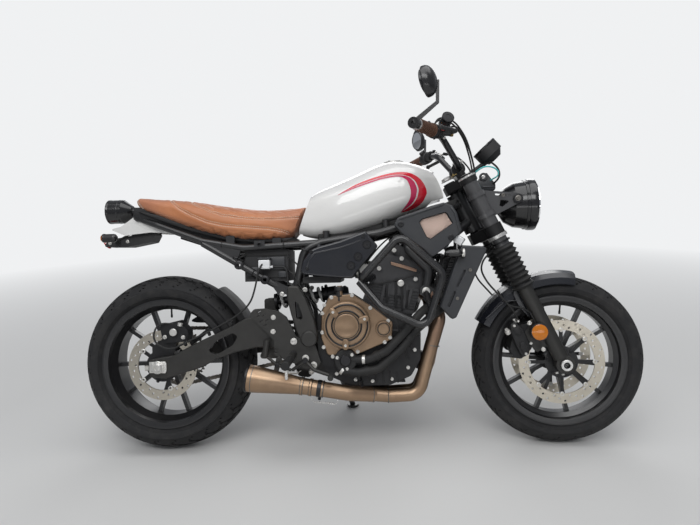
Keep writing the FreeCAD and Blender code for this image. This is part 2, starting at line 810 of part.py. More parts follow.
def main_frame():
    """Head tube, two main tubes, two mount tubes, cross tubes and pivot plates."""
    head = rod(on_steering_axis(head_tube_bottom_height), on_steering_axis(head_tube_top_height),
               head_tube_radius)
    main = bent_rod([point(1060, -22, 862), point(960, -96, 812), point(770, -118, 762),
                     point(572, -rail_half_spacing, 736), point(512, -rail_half_spacing, 712),
                     point(482, -88, 590), point(480, -79, 520)], main_tube_radius, 60)
    down = bent_rod([point(1100, -20, 800), point(1020, -104, 742), point(842, -140, 733),
                     point(940, -150, 632), point(926, -146, 556)], mount_tube_radius, 26)
    hanger = rod(point(926, -126, 561), point(926, -168, 561), 20)
    gusset = side_plate([(1098, 800), (1000, 800), (960, 770), (1010, 735)], -30, 30, 10)
    plate = side_plate([(462, 600), (500, 600), (535, 500), (548, 400), (545, 300), (520, 262),
                        (478, 268), (462, 330), (470, 420), (458, 520)],
                       -pivot_plate_outer, -pivot_plate_inner, 14)
    plate = plate.cut(side_plate([(482, 480), (512, 470), (516, 440), (486, 446)],
                                 -pivot_plate_outer - 1, -pivot_plate_inner + 1, 8))
    sides = []
    for piece in (main, down, hanger, plate):
        sides.append(piece)
        sides.append(mirrored(piece))
    for x, z in ((800, 770), (590, 738)):
        pad = rod(point(x, -100, z), point(x, -100, z + 38), 12)
        sides.append(pad)
        sides.append(mirrored(pad))
    crosses = [
        rod(point(570, -rail_half_spacing, 737), point(570, rail_half_spacing, 737), 11),
        rod(point(480, -pivot_plate_inner - 4, 588), point(480, pivot_plate_inner + 4, 588), 9),
        rod(point(500, -pivot_plate_inner - 4, 285), point(500, pivot_plate_inner + 4, 285), 11),
    ]
    pivot = disc(point(pivot_center[0], 0, pivot_center[1]),
                 (-pivot_plate_outer - 6, pivot_plate_outer + 4), 10)
    lug = side_plate([(545, 300), (632, 290), (632, 240), (560, 240), (520, 262)],
                     pivot_plate_inner, pivot_plate_outer, 8)
    whole = joined([head, gusset, lug, pivot] + sides + crosses)
    bore = rod(on_steering_axis(head_tube_bottom_height - 20),
               on_steering_axis(head_tube_top_height + 20), stem_radius + stem_running_gap)
    return whole.cut(bore).cut(stand_seat())


def stand_axis():
    """Unit direction of the stand's pivot bolt, square to the leg."""
    down = stand_leg_run()
    folded = point(*stand_fold_direction)
    return down.cross(folded).normalize()


def stand_leg_run():
    """From the stand's pivot to the middle of its foot on the ground."""
    ahead, out = stand_reach
    foot_y = stand_pivot[1] + out
    foot_z = foot_y * tan(lean) + stand_foot_thickness / 2 / cos(lean)
    return point(ahead, out, foot_z - stand_pivot[2])


def stand_seat():
    """Room for the stand's eye beside its lug."""
    centre = point(*stand_pivot)
    axis = stand_axis()
    return rod(centre - axis * 13, centre + axis * 60, 27)


def stand_bracket():
    """The stand's lug and bolt, fixed under the frame."""
    centre = point(*stand_pivot)
    axis = stand_axis()
    bolt = rod(centre - axis * 24, centre + axis * 16, stand_bolt_radius)
    plate = rod(centre - axis * 24, centre - axis * 13, 24)
    arm = bent_rod([point(600, 84, 266), centre - axis * 18], 15, 10)
    head = rod(centre + axis * 12.6, centre + axis * 18, 13)
    arm = arm.cut(rod(centre - axis * 13, centre + axis * 60, 34))
    return joined([arm, plate, bolt, head]).cut(made["main_frame"])


def side_stand():
    centre = point(*stand_pivot)
    axis = stand_axis()
    run = stand_leg_run()
    foot = centre + run
    eye = rod(centre - axis * 12.5, centre + axis * 12, 20)
    leg = rod(centre, foot, stand_leg_radius)
    pad = Part.makeCylinder(stand_foot_radius, stand_foot_thickness)
    pad.translate(point(0, 0, -stand_foot_thickness / 2))
    pad.rotate(point(0, 0, 0), point(1, 0, 0), lean_angle)
    pad.translate(foot)
    whole = joined([eye, leg, pad])
    bore = rod(centre - axis * 40, centre + axis * 40, stand_bolt_radius + stand_running_gap)
    return whole.cut(bore)


def subframe():
    """Seat rails, lower rails, cast gussets and cross pieces."""
    upper = bent_rod([point(572, -rail_half_spacing, 736), point(298, -rail_half_spacing, 724),
                      point(150, -96, 752), point(-20, -72, 815), point(-112, -46, 850)],
                     rail_radius, 70)
    lower = bent_rod([point(458, -84, 560), point(376, -rail_half_spacing, 608),
                      point(270, -rail_half_spacing, 672), point(150, -96, 744)], rail_radius, 60)
    web = side_plate([(145, 748), (290, 722), (272, 678), (224, 694)], -106, -94, 8)
    boss_front = disc(point(373, 0, 610), (-118, -86), 16)
    boss_rear = disc(point(282, 0, 664), (-118, -86), 16)
    tab = side_plate([(336, 748), (374, 748), (374, 722), (336, 722)], -112, -106, 3)
    pad_front = block((400, 430), (-104, -90), (728, 756))
    pad_rear = block((236, 266), (-106, -92), (728, 768))
    fitting = side_plate([(404, 606), (450, 584), (452, 560), (420, 552), (398, 584)], -104, -92, 6)
    side = joined([upper, lower, web, boss_front, boss_rear, tab, pad_front, pad_rear, fitting])
    side = side.cut(disc(point(373, 0, 610), (-130, -80), 6))
    side = side.cut(disc(point(282, 0, 664), (-130, -80), 6))
    side = side.cut(disc(point(355, 0, 735), (-130, -100), 5))
    crosses = [
        rod(point(200, -94, 735), point(200, 94, 735), 10),
        rod(point(-100, -60, 842), point(-100, 60, 842), 10),
        rod(point(40, -80, 792), point(40, 80, 792), 9),
    ]
    whole = joined([side, mirrored(side)] + crosses)
    return whole.cut(made["main_frame"])


def tank():
    """The fuel tank, one smooth shape with a tunnel over the frame."""
    shape = body_through([
        (484, 762, 538, 912, 84, 3.2, 2.6),
        (600, 752, 618, 950, 112, 3.4, 2.4),
        (715, 774, 722, 993, 134, 3.4, 2.3),
        (830, 812, 832, 1027, 140, 3.4, 2.3),
        (900, 836, 900, 1019, 128, 3.2, 2.3),
        (970, 858, 975, 991, 71, 3.0, 2.3),
        (1018, 873, 1026, 947, 52, 2.6, 2.2),
    ])
    front_room = rod(on_steering_axis(700), on_steering_axis(1000), 68)
    shape = shape.cut(front_room)
    tunnel = side_plate([(470, 700), (470, 778), (600, 778), (1060, 900), (1060, 780)],
                        -62, 62, 10)
    return shape.cut(tunnel).cut(made["main_frame"])


def seat():
    """A long flat saddle that rises to a blunt tail."""
    shape = body_through([
        (-100, 880, -112, 914, 44, 3.2, 2.8),
        (-70, 866, -90, 920, 74, 3.4, 3.0),
        (-10, 842, -30, 914, 98, 3.4, 3.0),
        (100, 800, 90, 903, 116, 3.6, 3.0),
        (230, 762, 226, 880, 126, 3.6, 3.0),
        (350, 747, 350, 864, 120, 3.6, 3.0),
        (440, 748, 450, 866, 104, 3.6, 2.8),
        (476, 764, 524, 874, 88, 3.4, 2.6),
    ])
    return shape.cut(made["subframe"]).cut(made["tank"])


def undertray():
    """Boxes for battery and electrics below the seat, with a brake reservoir."""
    box = block((296, 452), (-84, 84), (604, 716))
    tray = side_plate([(60, 764), (230, 706), (300, 706), (300, 716), (235, 718), (64, 776)],
                      -70, 70, 4)
    reservoir = block((351, 389), (-112, -84), (645, 683))
    union = rod(point(389, -98, 655), point(404, -98, 655), 5)
    hose = bent_rod([point(404, -98, 655), point(446, -98, 655), point(452, -96, 590)], 4, 22)
    whole = joined([box, tray, reservoir, union, hose])
    return whole.cut(made["main_frame"]).cut(made["subframe"])


def tail_cowl():
    """A short pale guard under the tail lamp."""
    outline = [(-206, 806), (-165, 816), (-118, 848), (-54, 820), (26, 786), (-54, 792),
               (-121, 786), (-150, 782), (-184, 797)]
    shape = side_plate(outline, -52, 52, 8)
    inside = side_plate([(x, z - 8) for x, z in outline], -44, 44, 8)
    return shape.cut(inside).cut(made["subframe"])


def tail_lamp():
    """A bullet lamp behind the seat."""
    def at(x):
        return point(x, 0, tail_lamp_height)
    drum = rod(at(-228), at(-174), tail_lamp_radius)
    taper = cone(at(-174), at(-142), tail_lamp_radius, 21)
    neck = rod(at(-142), at(-104), 15)
    foot = block((-134, -116), (-10, 10), (846, tail_lamp_height))
    whole = joined([drum, taper, neck, foot])
    recess = rod(at(-230), at(-222), tail_lamp_radius - 6)
    whole = whole.cut(recess).cut(made["subframe"]).cut(made["seat"])
    return whole.cut(made["tail_cowl"])


def plate_bracket():
    """A plain bracket for a number plate, with four small turn lamps' stalks."""
    arm = side_plate([(-240, 744), (-222, 769), (-132, 784), (-122, 838), (-100, 838), (-60, 812),
                      (-46, 784), (-60, 758),
                      (-150, 742)], -34, 34, 6)
    pieces = [arm]
    for side in (-1, 1):
        stalk = rod(point(-186, side * 30, 762), point(-186, side * 92, 770), 7)
        lamp = rod(point(-202, side * 104, 771), point(-166, side * 104, 771), 15)
        pieces.append(stalk)
        pieces.append(lamp)
    return joined(pieces).cut(made["tail_cowl"]).cut(made["subframe"])


def side_covers():
    """Smooth panels below the tank on both sides."""
    outline = [(503, 634), (512, 672), (538, 708), (565, 719), (641, 738), (728, 769),
               (770, 716), (752, 694), (722, 660), (680, 608), (638, 610), (569, 617), (516, 624)]
    panel = side_plate(outline, -156, -134, 9)
    panel = softened(panel, 7, lambda middle: middle.y < -155.9)
    dimples = [
        disc(point(732, 0, 721), (-160, -150), 15),
        disc(point(701, 0, 681), (-160, -150), 15),
        disc(point(676, 0, 651), (-160, -150), 15),
    ]
    peg = rod(point(566, -136, 710), point(566, -106, 728), 8)
    frames = made["main_frame"]
    right = joined([panel.cut(together(dimples)), peg]).cut(frames)
    return both_sides(right)


def air_scoops():
    """Scoop covers beside the tank's nose, each with a framed inset."""
    outline = [(824, 782), (836, 807), (945, 842), (990, 853), (1018, 841), (1032, 818),
               (1047, 757), (1000, 710), (946, 671), (922, 697), (856, 745)]
    cover = side_plate(outline, -200, -168, 10)
    cover = softened(cover, 5, lambda middle: middle.y < -199.9)
    inset = side_plate([(906, 790), (916, 801), (996, 822), (1019, 784), (944, 731), (930, 738)],
                       -202, -188, 7)
    post_front = rod(point(985, -170, 800), point(985, -100, 806), 9)
    post_rear = rod(point(860, -170, 768), point(860, -112, 782), 9)
    right = joined([cover.cut(inset), post_front, post_rear])
    return both_sides(right.cut(made["main_frame"]).cut(made["tank"]))


def crankcase():
    """The engine's lower half: gearbox, crank and sump."""
    outline = [(556, 496), (556, 330), (600, 272), (668, 242), (800, 242), (872, 272),
               (905, 330), (908, 420), (880, 478), (800, 505), (700, 512)]
    wide = side_plate(outline, -140, 90, 24)
    front = side_plate([(690, 500), (690, 300), (730, 250), (800, 240), (866, 272), (898, 332),
                        (900, 418), (872, 474), (800, 498)], 90, 140, 20)
    sump = block((640, 800), (-46, 90), (196, 250))
    shaft = disc(point(countershaft[0], 0, countershaft[1]), (88, chain_y - 3.5), 14)
    ribs = []
    for x, z in ((838, 250), (868, 300), (884, 360)):
        ribs.append(side_plate([(x - 40, z), (x + 14, z), (x + 14, z + 6), (x - 40, z + 6)],
                               -136, 136, 2))
    ears = []
    for side in (-1, 1):
        ears.append(side_plate([(606, 500), (668, 500), (658, 572), (646, 580), (622, 572)],
                               side * 19, side * 29, 6))
    whole = joined([wide, front, sump, shaft] + ribs + ears)
    return whole.cut(made["main_frame"])


def cylinder_block():
    """Cylinders, head and cam cover, with ribs and bosses."""
    barrel = side_plate([(700, 500), (880, 470), (912, 560), (742, 600)], -124, 124, 14)
    head = side_plate([(738, 590), (924, 545), (946, 600), (920, 655), (800, 690), (742, 650)],
                      -124, 124, 16)
    cover = side_plate([(780, 676), (914, 640), (906, 688), (838, 722), (792, 712)],
                       -108, 108, 14)
    pieces = [barrel, head, cover]
    for x, z, lift in ((770, 520, 78), (789, 531, 60), (846, 500, 84), (860, 505, 64)):
        rib = side_plate([(x, z), (x + 9, z - 2), (x + 27, z + lift), (x + 18, z + lift + 2)],
                         -134, 134, 3)
        pieces.append(rib)
    panel = side_plate([(802, 590), (872, 572), (862, 536), (792, 554)], -130, 130, 6)
    flange = side_plate([(740, 596), (930, 550), (932, 560), (742, 606)], -130, 130, 3)
    foot_flange = side_plate([(700, 512), (884, 480), (886, 490), (702, 522)], -130, 130, 3)
    pieces.extend([panel, flange, foot_flange])
    for x, z in ((825, 701), (850, 672), (844, 588), (772, 640), (896, 600)):
        pieces.append(disc(point(x, 0, z), (-132, 132), 10))
    for side in (-1, 1):
        pieces.append(rod(point(930, side * 52, 560), point(962, side * 52, 548), 30))
    whole = joined(pieces)
    return whole.cut(made["main_frame"]).cut(made["crankcase"])


def engine_covers():
    """The alternator's round cover and the sprocket's lid on the left."""
    left_centre = point(792, 0, 372)
    round_cover = softened(disc(left_centre, (140, 176), 82), 8, lambda middle: middle.y > 175)
    left = joined([round_cover, softened(disc(left_centre, (170, 188), 56), 5,
                                         lambda middle: middle.y > 187)])
    sprocket_lid = side_plate([(556, 430), (552, 330), (590, 312), (676, 322), (684, 400),
                               (650, 436)], chain_y + chain_width / 2 + 8, 140, 14)
    bolt = rod(point(672, 90, 420), point(672, 126, 420), 7)
    return together([left, joined([sprocket_lid, bolt])])


def water_hoses():
    """The water pump and its two hoses to the radiator."""
    pump = disc(point(651, 0, 335), (-184, -140), 38)
    pump = softened(pump, 5, lambda middle: middle.y < -183)
    upper = bent_rod([point(651, -168, 335), point(730, -178, 336), point(790, -182, 364),
                      point(850, -178, 424), point(905, -166, 486), point(960, -132, 526),
                      point(1014, -118, 552)], 14, 60)
    lower = bent_rod([point(624, -166, 330), point(632, -172, 302), point(690, -176, 293),
                      point(760, -178, 304), point(836, -176, 366), point(890, -164, 430),
                      point(952, -151, 480), point(1004, -116, 513)], 14, 40)
    rings = []
    for start, end in (((752, -180, 346), (764, -181, 352)), ((868, -174, 446), (877, -172, 456)),
                       ((716, -177, 297), (729, -177, 299)), ((862, -170, 398), (871, -168, 409))):
        rings.append(rod(point(*start), point(*end), 16.5))
    whole = joined([pump, upper, lower] + rings)
    return whole.cut(made["clutch_cover"]).cut(made["radiator"])


def radiator():
    """The finned core between two end tanks, with a filler neck."""
    core = side_plate([(1054, 704), (1082, 694), (1020, 492), (992, 502)], -150, 150, 4)
    fan = side_plate([(1024, 672), (1048, 684), (1004, 540), (980, 550)], -92, 92, 8)
    stay = rod(point(1062, -40, 696), point(1062, -40, 748), 6)
    return joined([core, fan, stay, mirrored(stay)])


def radiator_shrouds():
    """Side panels of the radiator, each with two narrow slots."""
    outline = [(1046, 711), (1122, 705), (1130, 692), (1024, 470), (1010, 464), (970, 507)]
    panel = side_plate(outline, -182, -150, 8)
    panel = softened(panel, 6, lambda middle: middle.y < -181.9)
    slots = []
    for top, bottom in (((1056, 629), (1028, 573)), ((1021, 559), (998, 507))):
        slots.append(side_plate([(top[0] - 4, top[1] + 1), (top[0] + 4, top[1] - 2),
                                 (bottom[0] + 4, bottom[1] - 1), (bottom[0] - 4, bottom[1] + 2)],
                                -184, -172, 3))
    return both_sides(panel.cut(together(slots)))


def exhaust_headers():
    """Two header pipes that sweep under the engine into one."""
    right = bent_rod([point(905, -52, 566), point(962, -66, 536), point(976, -108, 462),
                      point(944, -118, 368), point(896, -122, 206), point(800, -126, 203),
                      point(720, -134, 212)], header_radius, 48)
    left = bent_rod([point(905, 52, 566), point(956, 54, 532), point(978, 36, 410),
                     point(946, -10, 300), point(896, -62, 206), point(806, -76, 204),
                     point(720, -130, 212)], header_radius, 48)
    collector = bent_rod([point(745, -131, 209), point(660, -162, 221), point(548, muffler_y, 243)],
                         header_radius + 2, 60)
    pipes = joined([right, left, collector])
    return pipes.cut(made["cylinder_block"])


def muffler():
    """A short cone that widens to a blunt silencer, with bands at its neck."""
    front = point(548, muffler_y, 243)
    rear = point(314, muffler_y, 281)
    run = rear - front
    sleeve = header_radius + 2
    neck = muffler_neck_radius
    profile = [(-24, sleeve), (-24, neck), (14, neck), (14, neck + 2.5), (20, neck + 2.5), (20, neck),
               (44, neck + 1), (44, neck + 3.5), (50, neck + 3.5), (50, neck + 1.5),
               (run.Length - 30, muffler_radius), (run.Length, muffler_radius),
               (run.Length, 30), (run.Length - 40, 30), (run.Length - 40, 0), (2, 0), (2, sleeve)]
    points = [point(0, radius, along) for along, radius in profile]
    points.append(points[0])
    can = Part.Face(Part.makePolygon(points)).revolve(point(0, 0, 0), point(0, 0, 1), 360)
    can.rotate(point(0, 0, 0), across, degrees(atan2(run.x, run.z)))
    can.translate(front)
    return can.cut(made["exhaust_headers"])


def swingarm():
    """A banana-shaped right arm, a straight left arm and a cross box."""
    right_outline = [(-34, 282), (24, 276), (80, 292), (150, 312), (205, 340), (275, 364),
                     (345, 378), (435, 372), (440, 430), (400, 492), (345, 488), (305, 478),
                     (252, 450), (150, 405), (50, 356), (8, 350), (-34, 342)]
    right = side_plate(right_outline, -142, -118, 16)
    right = softened(right, 5, lambda middle: middle.y < -141.9)
    slot = side_plate([(172, 368), (205, 404), (262, 430), (280, 418), (262, 388), (205, 356)],
                      -145, -115, 12)
    right = right.cut(slot)
    left = side_plate([(-34, 284), (24, 282), (250, 316), (440, 332), (440, 390), (250, 386),
                       (24, 350), (-34, 348)], 122, 142, 14)
    box = side_plate([(346, 336), (440, 336), (440, 394), (372, 394)], -119, 123, 10)
    lugs = side_plate([(430, 340), (520, 357), (520, 413), (430, 392)], -62, 62, 8)
    ears = []
    for side in (-1, 1):
        ears.append(side_plate([(352, 384), (420, 384), (384, 540), (352, 540)],
                               side * 19, side * 29, 9))
    tube_end = disc(point(pivot_center[0], 0, pivot_center[1]), (-66, 66), 28)
    whole = joined([right, left, box, lugs, tube_end] + ears)
    whole = whole.cut(disc(point(pivot_center[0], 0, pivot_center[1]), (-80, 80), 10))
    tyre_room = disc(rear_hub, (-rear_tyre_width / 2 - 8, rear_tyre_width / 2 + 8),
                     rear_tyre_radius + 12)
    whole = whole.cut(tyre_room)
    return whole.cut(disc(rear_hub, (-200, 200), axle_radius))


def rear_axle():
    return axle_pin(rear_hub, rear_axle_half, 17)


def front_axle():
    return axle_pin(front_hub, front_axle_half, 16)


def rear_shock():
    """A damper with a coil spring, laid nearly flat above the swingarm."""
    rear_end = point(368, 0, 524)
    front_end = point(638, 0, 560)
    run = front_end - rear_end
    along = point(run.x, run.y, run.z).normalize()
    body = rod(rear_end + along * 8, front_end - along * 8, 14)
    drum = rod(front_end - along * 74, front_end - along * 22, 24)
    seat_rear = rod(rear_end + along * 20, rear_end + along * 28, 29)
    eye = rod(rear_end - across * 18.5, rear_end + across * 18.5, 15)
    top_eye = rod(front_end - across * 18.5, front_end + across * 18.5, 15)
    coil_length = run.Length - 74 - 28
    helix = Part.makeHelix(coil_length / spring_turns, coil_length, spring_radius)
    wire = Part.Wire(helix.Edges)
    start = wire.Edges[0].valueAt(wire.Edges[0].FirstParameter)
    ring_face = Part.Wire([Part.makeCircle(spring_wire_radius, start, point(0, 1, 0))])
    spring = wire.makePipeShell([ring_face], True, True)
    spring.rotate(point(0, 0, 0), across, degrees(atan2(run.x, run.z)))
    spring.translate(rear_end + along * 28)
    whole = joined([body, drum, seat_rear, eye, top_eye])
    whole = whole.cut(made["main_frame"]).cut(made["swingarm"]).cut(made["crankcase"])
    return joined([whole, spring])


def chain_path(offset):
    """The loop round both sprockets at an offset from the pitch line."""
    rear = rear_hub
    front = point(countershaft[0], 0, countershaft[1])
    rear_radius = rear_pitch_radius + offset
    front_radius = front_pitch_radius + offset
    between = front - rear
    distance = between.Length
    slope = atan2(between.z, between.x)
    lap = atan2(rear_radius - front_radius,
                sqrt(distance ** 2 - (rear_radius - front_radius) ** 2))
    top = slope + pi / 2 - lap
    bottom = slope - pi / 2 + lap

    def at(centre, radius, angle):
        return point(centre.x + radius * cos(angle), 0, centre.z + radius * sin(angle))

    rear_top = at(rear, rear_radius, top)
    front_top = at(front, front_radius, top)
    rear_bottom = at(rear, rear_radius, bottom)
    front_bottom = at(front, front_radius, bottom)
    return Part.Wire([
        Part.makeLine(rear_top, front_top),
        Part.Arc(front_top, at(front, front_radius, slope), front_bottom).toShape(),
        Part.makeLine(front_bottom, rear_bottom),
        Part.Arc(rear_bottom, at(rear, rear_radius, slope + pi), rear_top).toShape(),
    ])


def chain():
    """Two side bands joined by rollers, and the small sprocket inside."""
    half = chain_plate_height / 2
    outer = Part.Face(chain_path(half))
    inner = Part.Face(chain_path(-half))
    band = outer.cut(inner)
    side_gap = chain_width / 2 - chain_plate_thickness
    near = band.extrude(point(0, chain_plate_thickness, 0))
    far = near.copy()
    near.translate(point(0, chain_y + side_gap, 0))
    far.translate(point(0, chain_y - side_gap - chain_plate_thickness, 0))
    path = chain_path(0)
    count = 2 * int(path.Length / chain_pitch / 4)
    pieces = [near, far]
    for place in path.discretize(count + 1)[:-1]:
        start = point(place.x, chain_y - side_gap - 1, place.z)
        end = point(place.x, chain_y + side_gap + 1, place.z)
        pin = block((place.x - 4, place.x + 4), (start.y, end.y), (place.z - 4, place.z + 4))
        pieces.append(pin)
    front = point(countershaft[0], 0, countershaft[1])
    sprocket = disc(front, (chain_y - 3.5, chain_y + 3.5), front_pitch_radius - 3)
    return joined(pieces + [sprocket])


def hugger():
    """A short mudguard over the tyre's front and a guard over the chain."""
    crown = rear_tyre_radius + 14
    skin = 3.0
    outer = [(crown - 16, 92), (crown - 2, 60), (crown + 4, 24), (crown + 5, 0)]
    outer = outer + [(radius, -y) for radius, y in reversed(outer[:-1])]
    inner = [(radius - skin, y * 0.965) for radius, y in outer]
    shell = spun(outer + inner[::-1], rear_hub, 32, 22)
    guard = side_plate([(30, 452), (60, 446), (330, 436), (440, 432), (436, 446), (340, 452),
                        (60, 470)], 98, 120, 5)
    foot = side_plate([(330, 452), (352, 452), (352, 384), (330, 384)], 120, 126, 3)
    stay = rod(point(284, -80, 455), point(284, -126, 460), 8)
    link = rod(point(284, 80, 455), point(292, 110, 446), 8)
    whole = joined([shell, guard, foot, stay, link])
    return whole.cut(made["swingarm"])


def rearsets():
    """Heel plates, pivot covers, footpegs, brake pedal and gear lever."""
    bracket = side_plate([(324, 492), (342, 511), (380, 513), (424, 503), (452, 482), (470, 446),
                          (484, 416), (549, 384), (567, 326), (547, 301), (505, 311), (444, 338),
                          (408, 354), (410, 400), (392, 424), (350, 466)],
                         -162, -148, 9)
    for x, z in ((360, 502), (357, 489), (375, 490), (367, 472), (386, 474), (380, 457)):
        bracket = bracket.cut(side_plate([(x - 7, z - 5), (x + 5, z + 2), (x + 7, z + 5), (x - 5, z - 2)],
                                         -170, -140, 1))
    bracket = bracket.cut(disc(point(417, 0, 370), (-170, -156), 9))
    posts = []
    for x, z in ((477, 400), (515, 342)):
        posts.append(disc(point(x, 0, z), (-170, -pivot_plate_outer), 11))
    peg = bent_rod([point(474, -156, 356), point(474, -190, 352), point(470, -318, 344)], 11, 20)
    feeler = rod(point(472, -310, 338), point(472, -310, 300), 3)
    toe = bent_rod([point(515, -176, 336), point(548, -192, 306), point(606, -210, 290)], 6, 20)
    heel_arm = bent_rod([point(515, -176, 336), point(470, -172, 304)], 6, 10)
    pad = rod(point(604, -198, 290), point(604, -246, 290), 8)
    pump = rod(point(379, -172, 352), point(387, -172, 408), 11)
    pump_foot = disc(point(383, 0, 384), (-172, -150), 8)
    pump_arm = bent_rod([point(379, -172, 356), point(420, -172, 322), point(468, -172, 304)], 5, 16)
    cover = side_plate([(460, 590), (498, 587), (524, 543), (550, 474), (561, 416), (542, 381),
                        (508, 390), (488, 440), (472, 492), (460, 545)], -188, -164, 12)
    cover = softened(cover, 6, lambda middle: middle.y < -187.9)
    slot = side_plate([(485, 540), (498, 528), (512, 484), (506, 474), (490, 480)], -190, -160, 5)
    cover = cover.cut(slot)
    ankle = softened(disc(point(531, 0, 410), (-194, -170), 27), 5, lambda middle: middle.y < -193)
    cover_post = disc(point(500, 0, 560), (-166, -80), 8)
    right = joined([bracket, peg, feeler, toe, heel_arm, pad, pump, pump_foot, pump_arm, cover,
                    ankle, cover_post] + posts)
    left_bracket = side_plate([(440, 500), (480, 500), (548, 330), (545, 306), (500, 320),
                               (440, 368)], 150, 160, 10)
    left_posts = []
    for x, z in ((500, 345), (462, 450)):
        left_posts.append(disc(point(x, 0, z), (pivot_plate_outer, 160), 10))
    left_peg = mirrored(peg)
    left_feeler = mirrored(feeler)
    lever = bent_rod([point(505, 160, 340), point(560, 176, 322), point(640, 196, 312)], 6, 20)
    lever_pad = rod(point(636, 185, 312), point(636, 232, 312), 8)
    left = joined([left_bracket, left_peg, left_feeler, lever, lever_pad] + left_posts)
    frames = made["main_frame"]
    return together([right.cut(frames), left.cut(frames)])


def crash_bars():
    """A guard loop on each side of the engine."""
    loop = bent_rod([point(752, -112, 612), point(700, -232, 598), point(840, -246, 746),
                     point(975, -252, 620), point(916, -252, 446), point(776, -246, 512),
                     point(704, -214, 598)],
                    crash_bar_radius, crash_bar_bend)
    lower = rod(point(934, -250, 500), point(926, -168, 556), 10)
    right = joined([loop, lower])
    right = right.cut(made["main_frame"]).cut(made["cylinder_block"])
    return both_sides(right)


def rear_caliper():
    """A single-piston caliper over the rear disc, on its bracket."""
    half_gap = disc_thickness / 2 + disc_gap_in_caliper
    body = side_plate([(2, 460), (66, 474), (102, 440), (98, 402), (14, 398)],
                      -rear_disc_y - half_gap - 22, -rear_disc_y + half_gap + 16, 10)
    slot = disc(rear_hub, (-rear_disc_y - half_gap, -rear_disc_y + half_gap),
                rear_disc_radius + 7)
    bracket = side_plate([(-30, 322), (34, 322), (60, 410), (20, 420), (-30, 384)],
                         -118, -109, 10)
    whole = joined([body.cut(slot), bracket])
    whole = whole.cut(made["swingarm"])
    return whole.cut(disc(rear_hub, (-200, 0), axle_radius))


def steered(shape):
    """Turn a piece of the front end with the bars, as it rests on the stand."""
    shape = shape.copy()
    shape.rotate(on_steering_axis(head_tube_bottom_height), up_the_fork, -bars_turned_right)
    return shape


def softened(shape, radius, picks):
    """Round the edges whose middle a test picks out."""
    chosen = []
    for edge in shape.Edges:
        if picks(edge.valueAt((edge.FirstParameter + edge.LastParameter) / 2)):
            chosen.append(edge)
    return shape.makeFillet(radius, chosen)


def hose(name, points, radius):
    """A flexible line on its real route, each bend as wide as its runs allow."""
    tightest = None
    for before, here, after in zip(points, points[1:], points[2:]):
        half = (before - here).getAngle(after - here) / 2
        bend = 0.45 * min((before - here).Length, (after - here).Length) * tan(half)
        tightest = bend if tightest is None else min(tightest, bend)
    edges = rounded_edges(points, 1e6, False)
    length = sum(edge.Length for edge in edges)
    start_run = points[1] - points[0]
    section = Part.Wire([Part.makeCircle(radius, points[0], start_run)])
    line = Part.Wire(edges).makePipeShell([section], True, False)
    print(name, "length", round(length), "tightest bend", round(tightest),
          "volume over section times length", round(line.Volume / (pi * radius ** 2 * length), 3))
    return line


def disc_holes(hub, y, rows, around):
    """Small holes through a brake ring, in rows that lean one after another."""
    holes = []
    for i in range(around):
        for row, radius in enumerate(rows):
            angle = 2 * pi * (i + row / len(rows)) / around
            seat = hub + point(cos(angle), 0, sin(angle)) * radius
            holes.append(disc(seat, (y - disc_thickness, y + disc_thickness), disc_hole_radius))
    return together(holes)


def throttle_cables():
    """Opening and closing cables from the twist grip down to a guide on the lower yoke."""
    lines = []
    for shift in (0, 1):
        lines.append(hose("throttle cable", [
            point(962 + 6 * shift, -246, 1094),
            point(990, -226 + 4 * shift, 1128 + 8 * shift),
            point(1040 + 4 * shift, -176, 1126 + 8 * shift),
            point(1082 + 8 * shift, -122, 1082 + 4 * shift),
            point(1112 + 8 * shift, -62, 1010),
            point(1124 + 9 * shift, -38, 930),
            point(1142 + 9 * shift, -32, 860),
            point(1160 + 12 * shift, -30, 772),
        ], throttle_cable_radius))
    outside = [longest(line.cut(made["controls"]).cut(made["fork_yokes"])) for line in lines]
    return together(outside)


def intake():
    """The air box below the tank and the two throttle bodies ahead of it."""
    box = side_plate([(536, 722), (690, 722), (704, 700), (690, 612), (536, 612)], -80, 80, 12)
    shelf = side_plate([(506, 594), (640, 594), (640, 616), (506, 616)], -118, 118, 6)
    pieces = [box, shelf]
    for side in (-1, 1):
        throat = rod(point(684, side * 52, 632), point(752, side * 52, 642), 26)
        collar = rod(point(706, side * 52, 635), point(718, side * 52, 637), 31)
        pieces.append(throat)
        pieces.append(collar)
    spindle = rod(point(724, -92, 638), point(724, 92, 638), 9)
    whole = joined(pieces + [spindle])
    return whole.cut(made["cylinder_block"]).cut(made["main_frame"])


def clutch_cover():
    """The stepped cover over the clutch, on its flat base."""
    centre = point(658, 0, 452)
    small = point(781, 0, 436)
    plate = side_plate([(590, 349), (569, 411), (573, 497), (600, 549), (678, 555), (746, 510),
                        (813, 456), (808, 398), (692, 351)], -158, -140, 14)
    plate = softened(plate, 3, lambda middle: middle.y < -157.9)
    drum = disc(centre, (-188, -150), 80)
    drum = softened(drum, 7, lambda middle: middle.y < -187)
    step = disc(centre, (-196, -180), 62)
    cap = softened(disc(centre, (-204, -180), 40), 3, lambda middle: middle.y < -203)
    small_cap = softened(disc(small, (-172, -150), 27), 4, lambda middle: middle.y < -171)
    right = joined([plate, drum, step, cap, small_cap])
    groove = ring(centre, (-190, -180), 72, 66)
    inner_groove = ring(centre, (-198, -188), 52, 46)
    right = right.cut(groove).cut(inner_groove)
    for angle in (133, 20, 266):
        lug_middle = centre + point(cos(radians(angle)), 0, sin(radians(angle))) * 62
        right = joined([right, disc(lug_middle, (-198, -170), 11)])
    stem = rod(point(639, -150, 518), point(635, -150, 584), 9)
    return joined([right, stem])


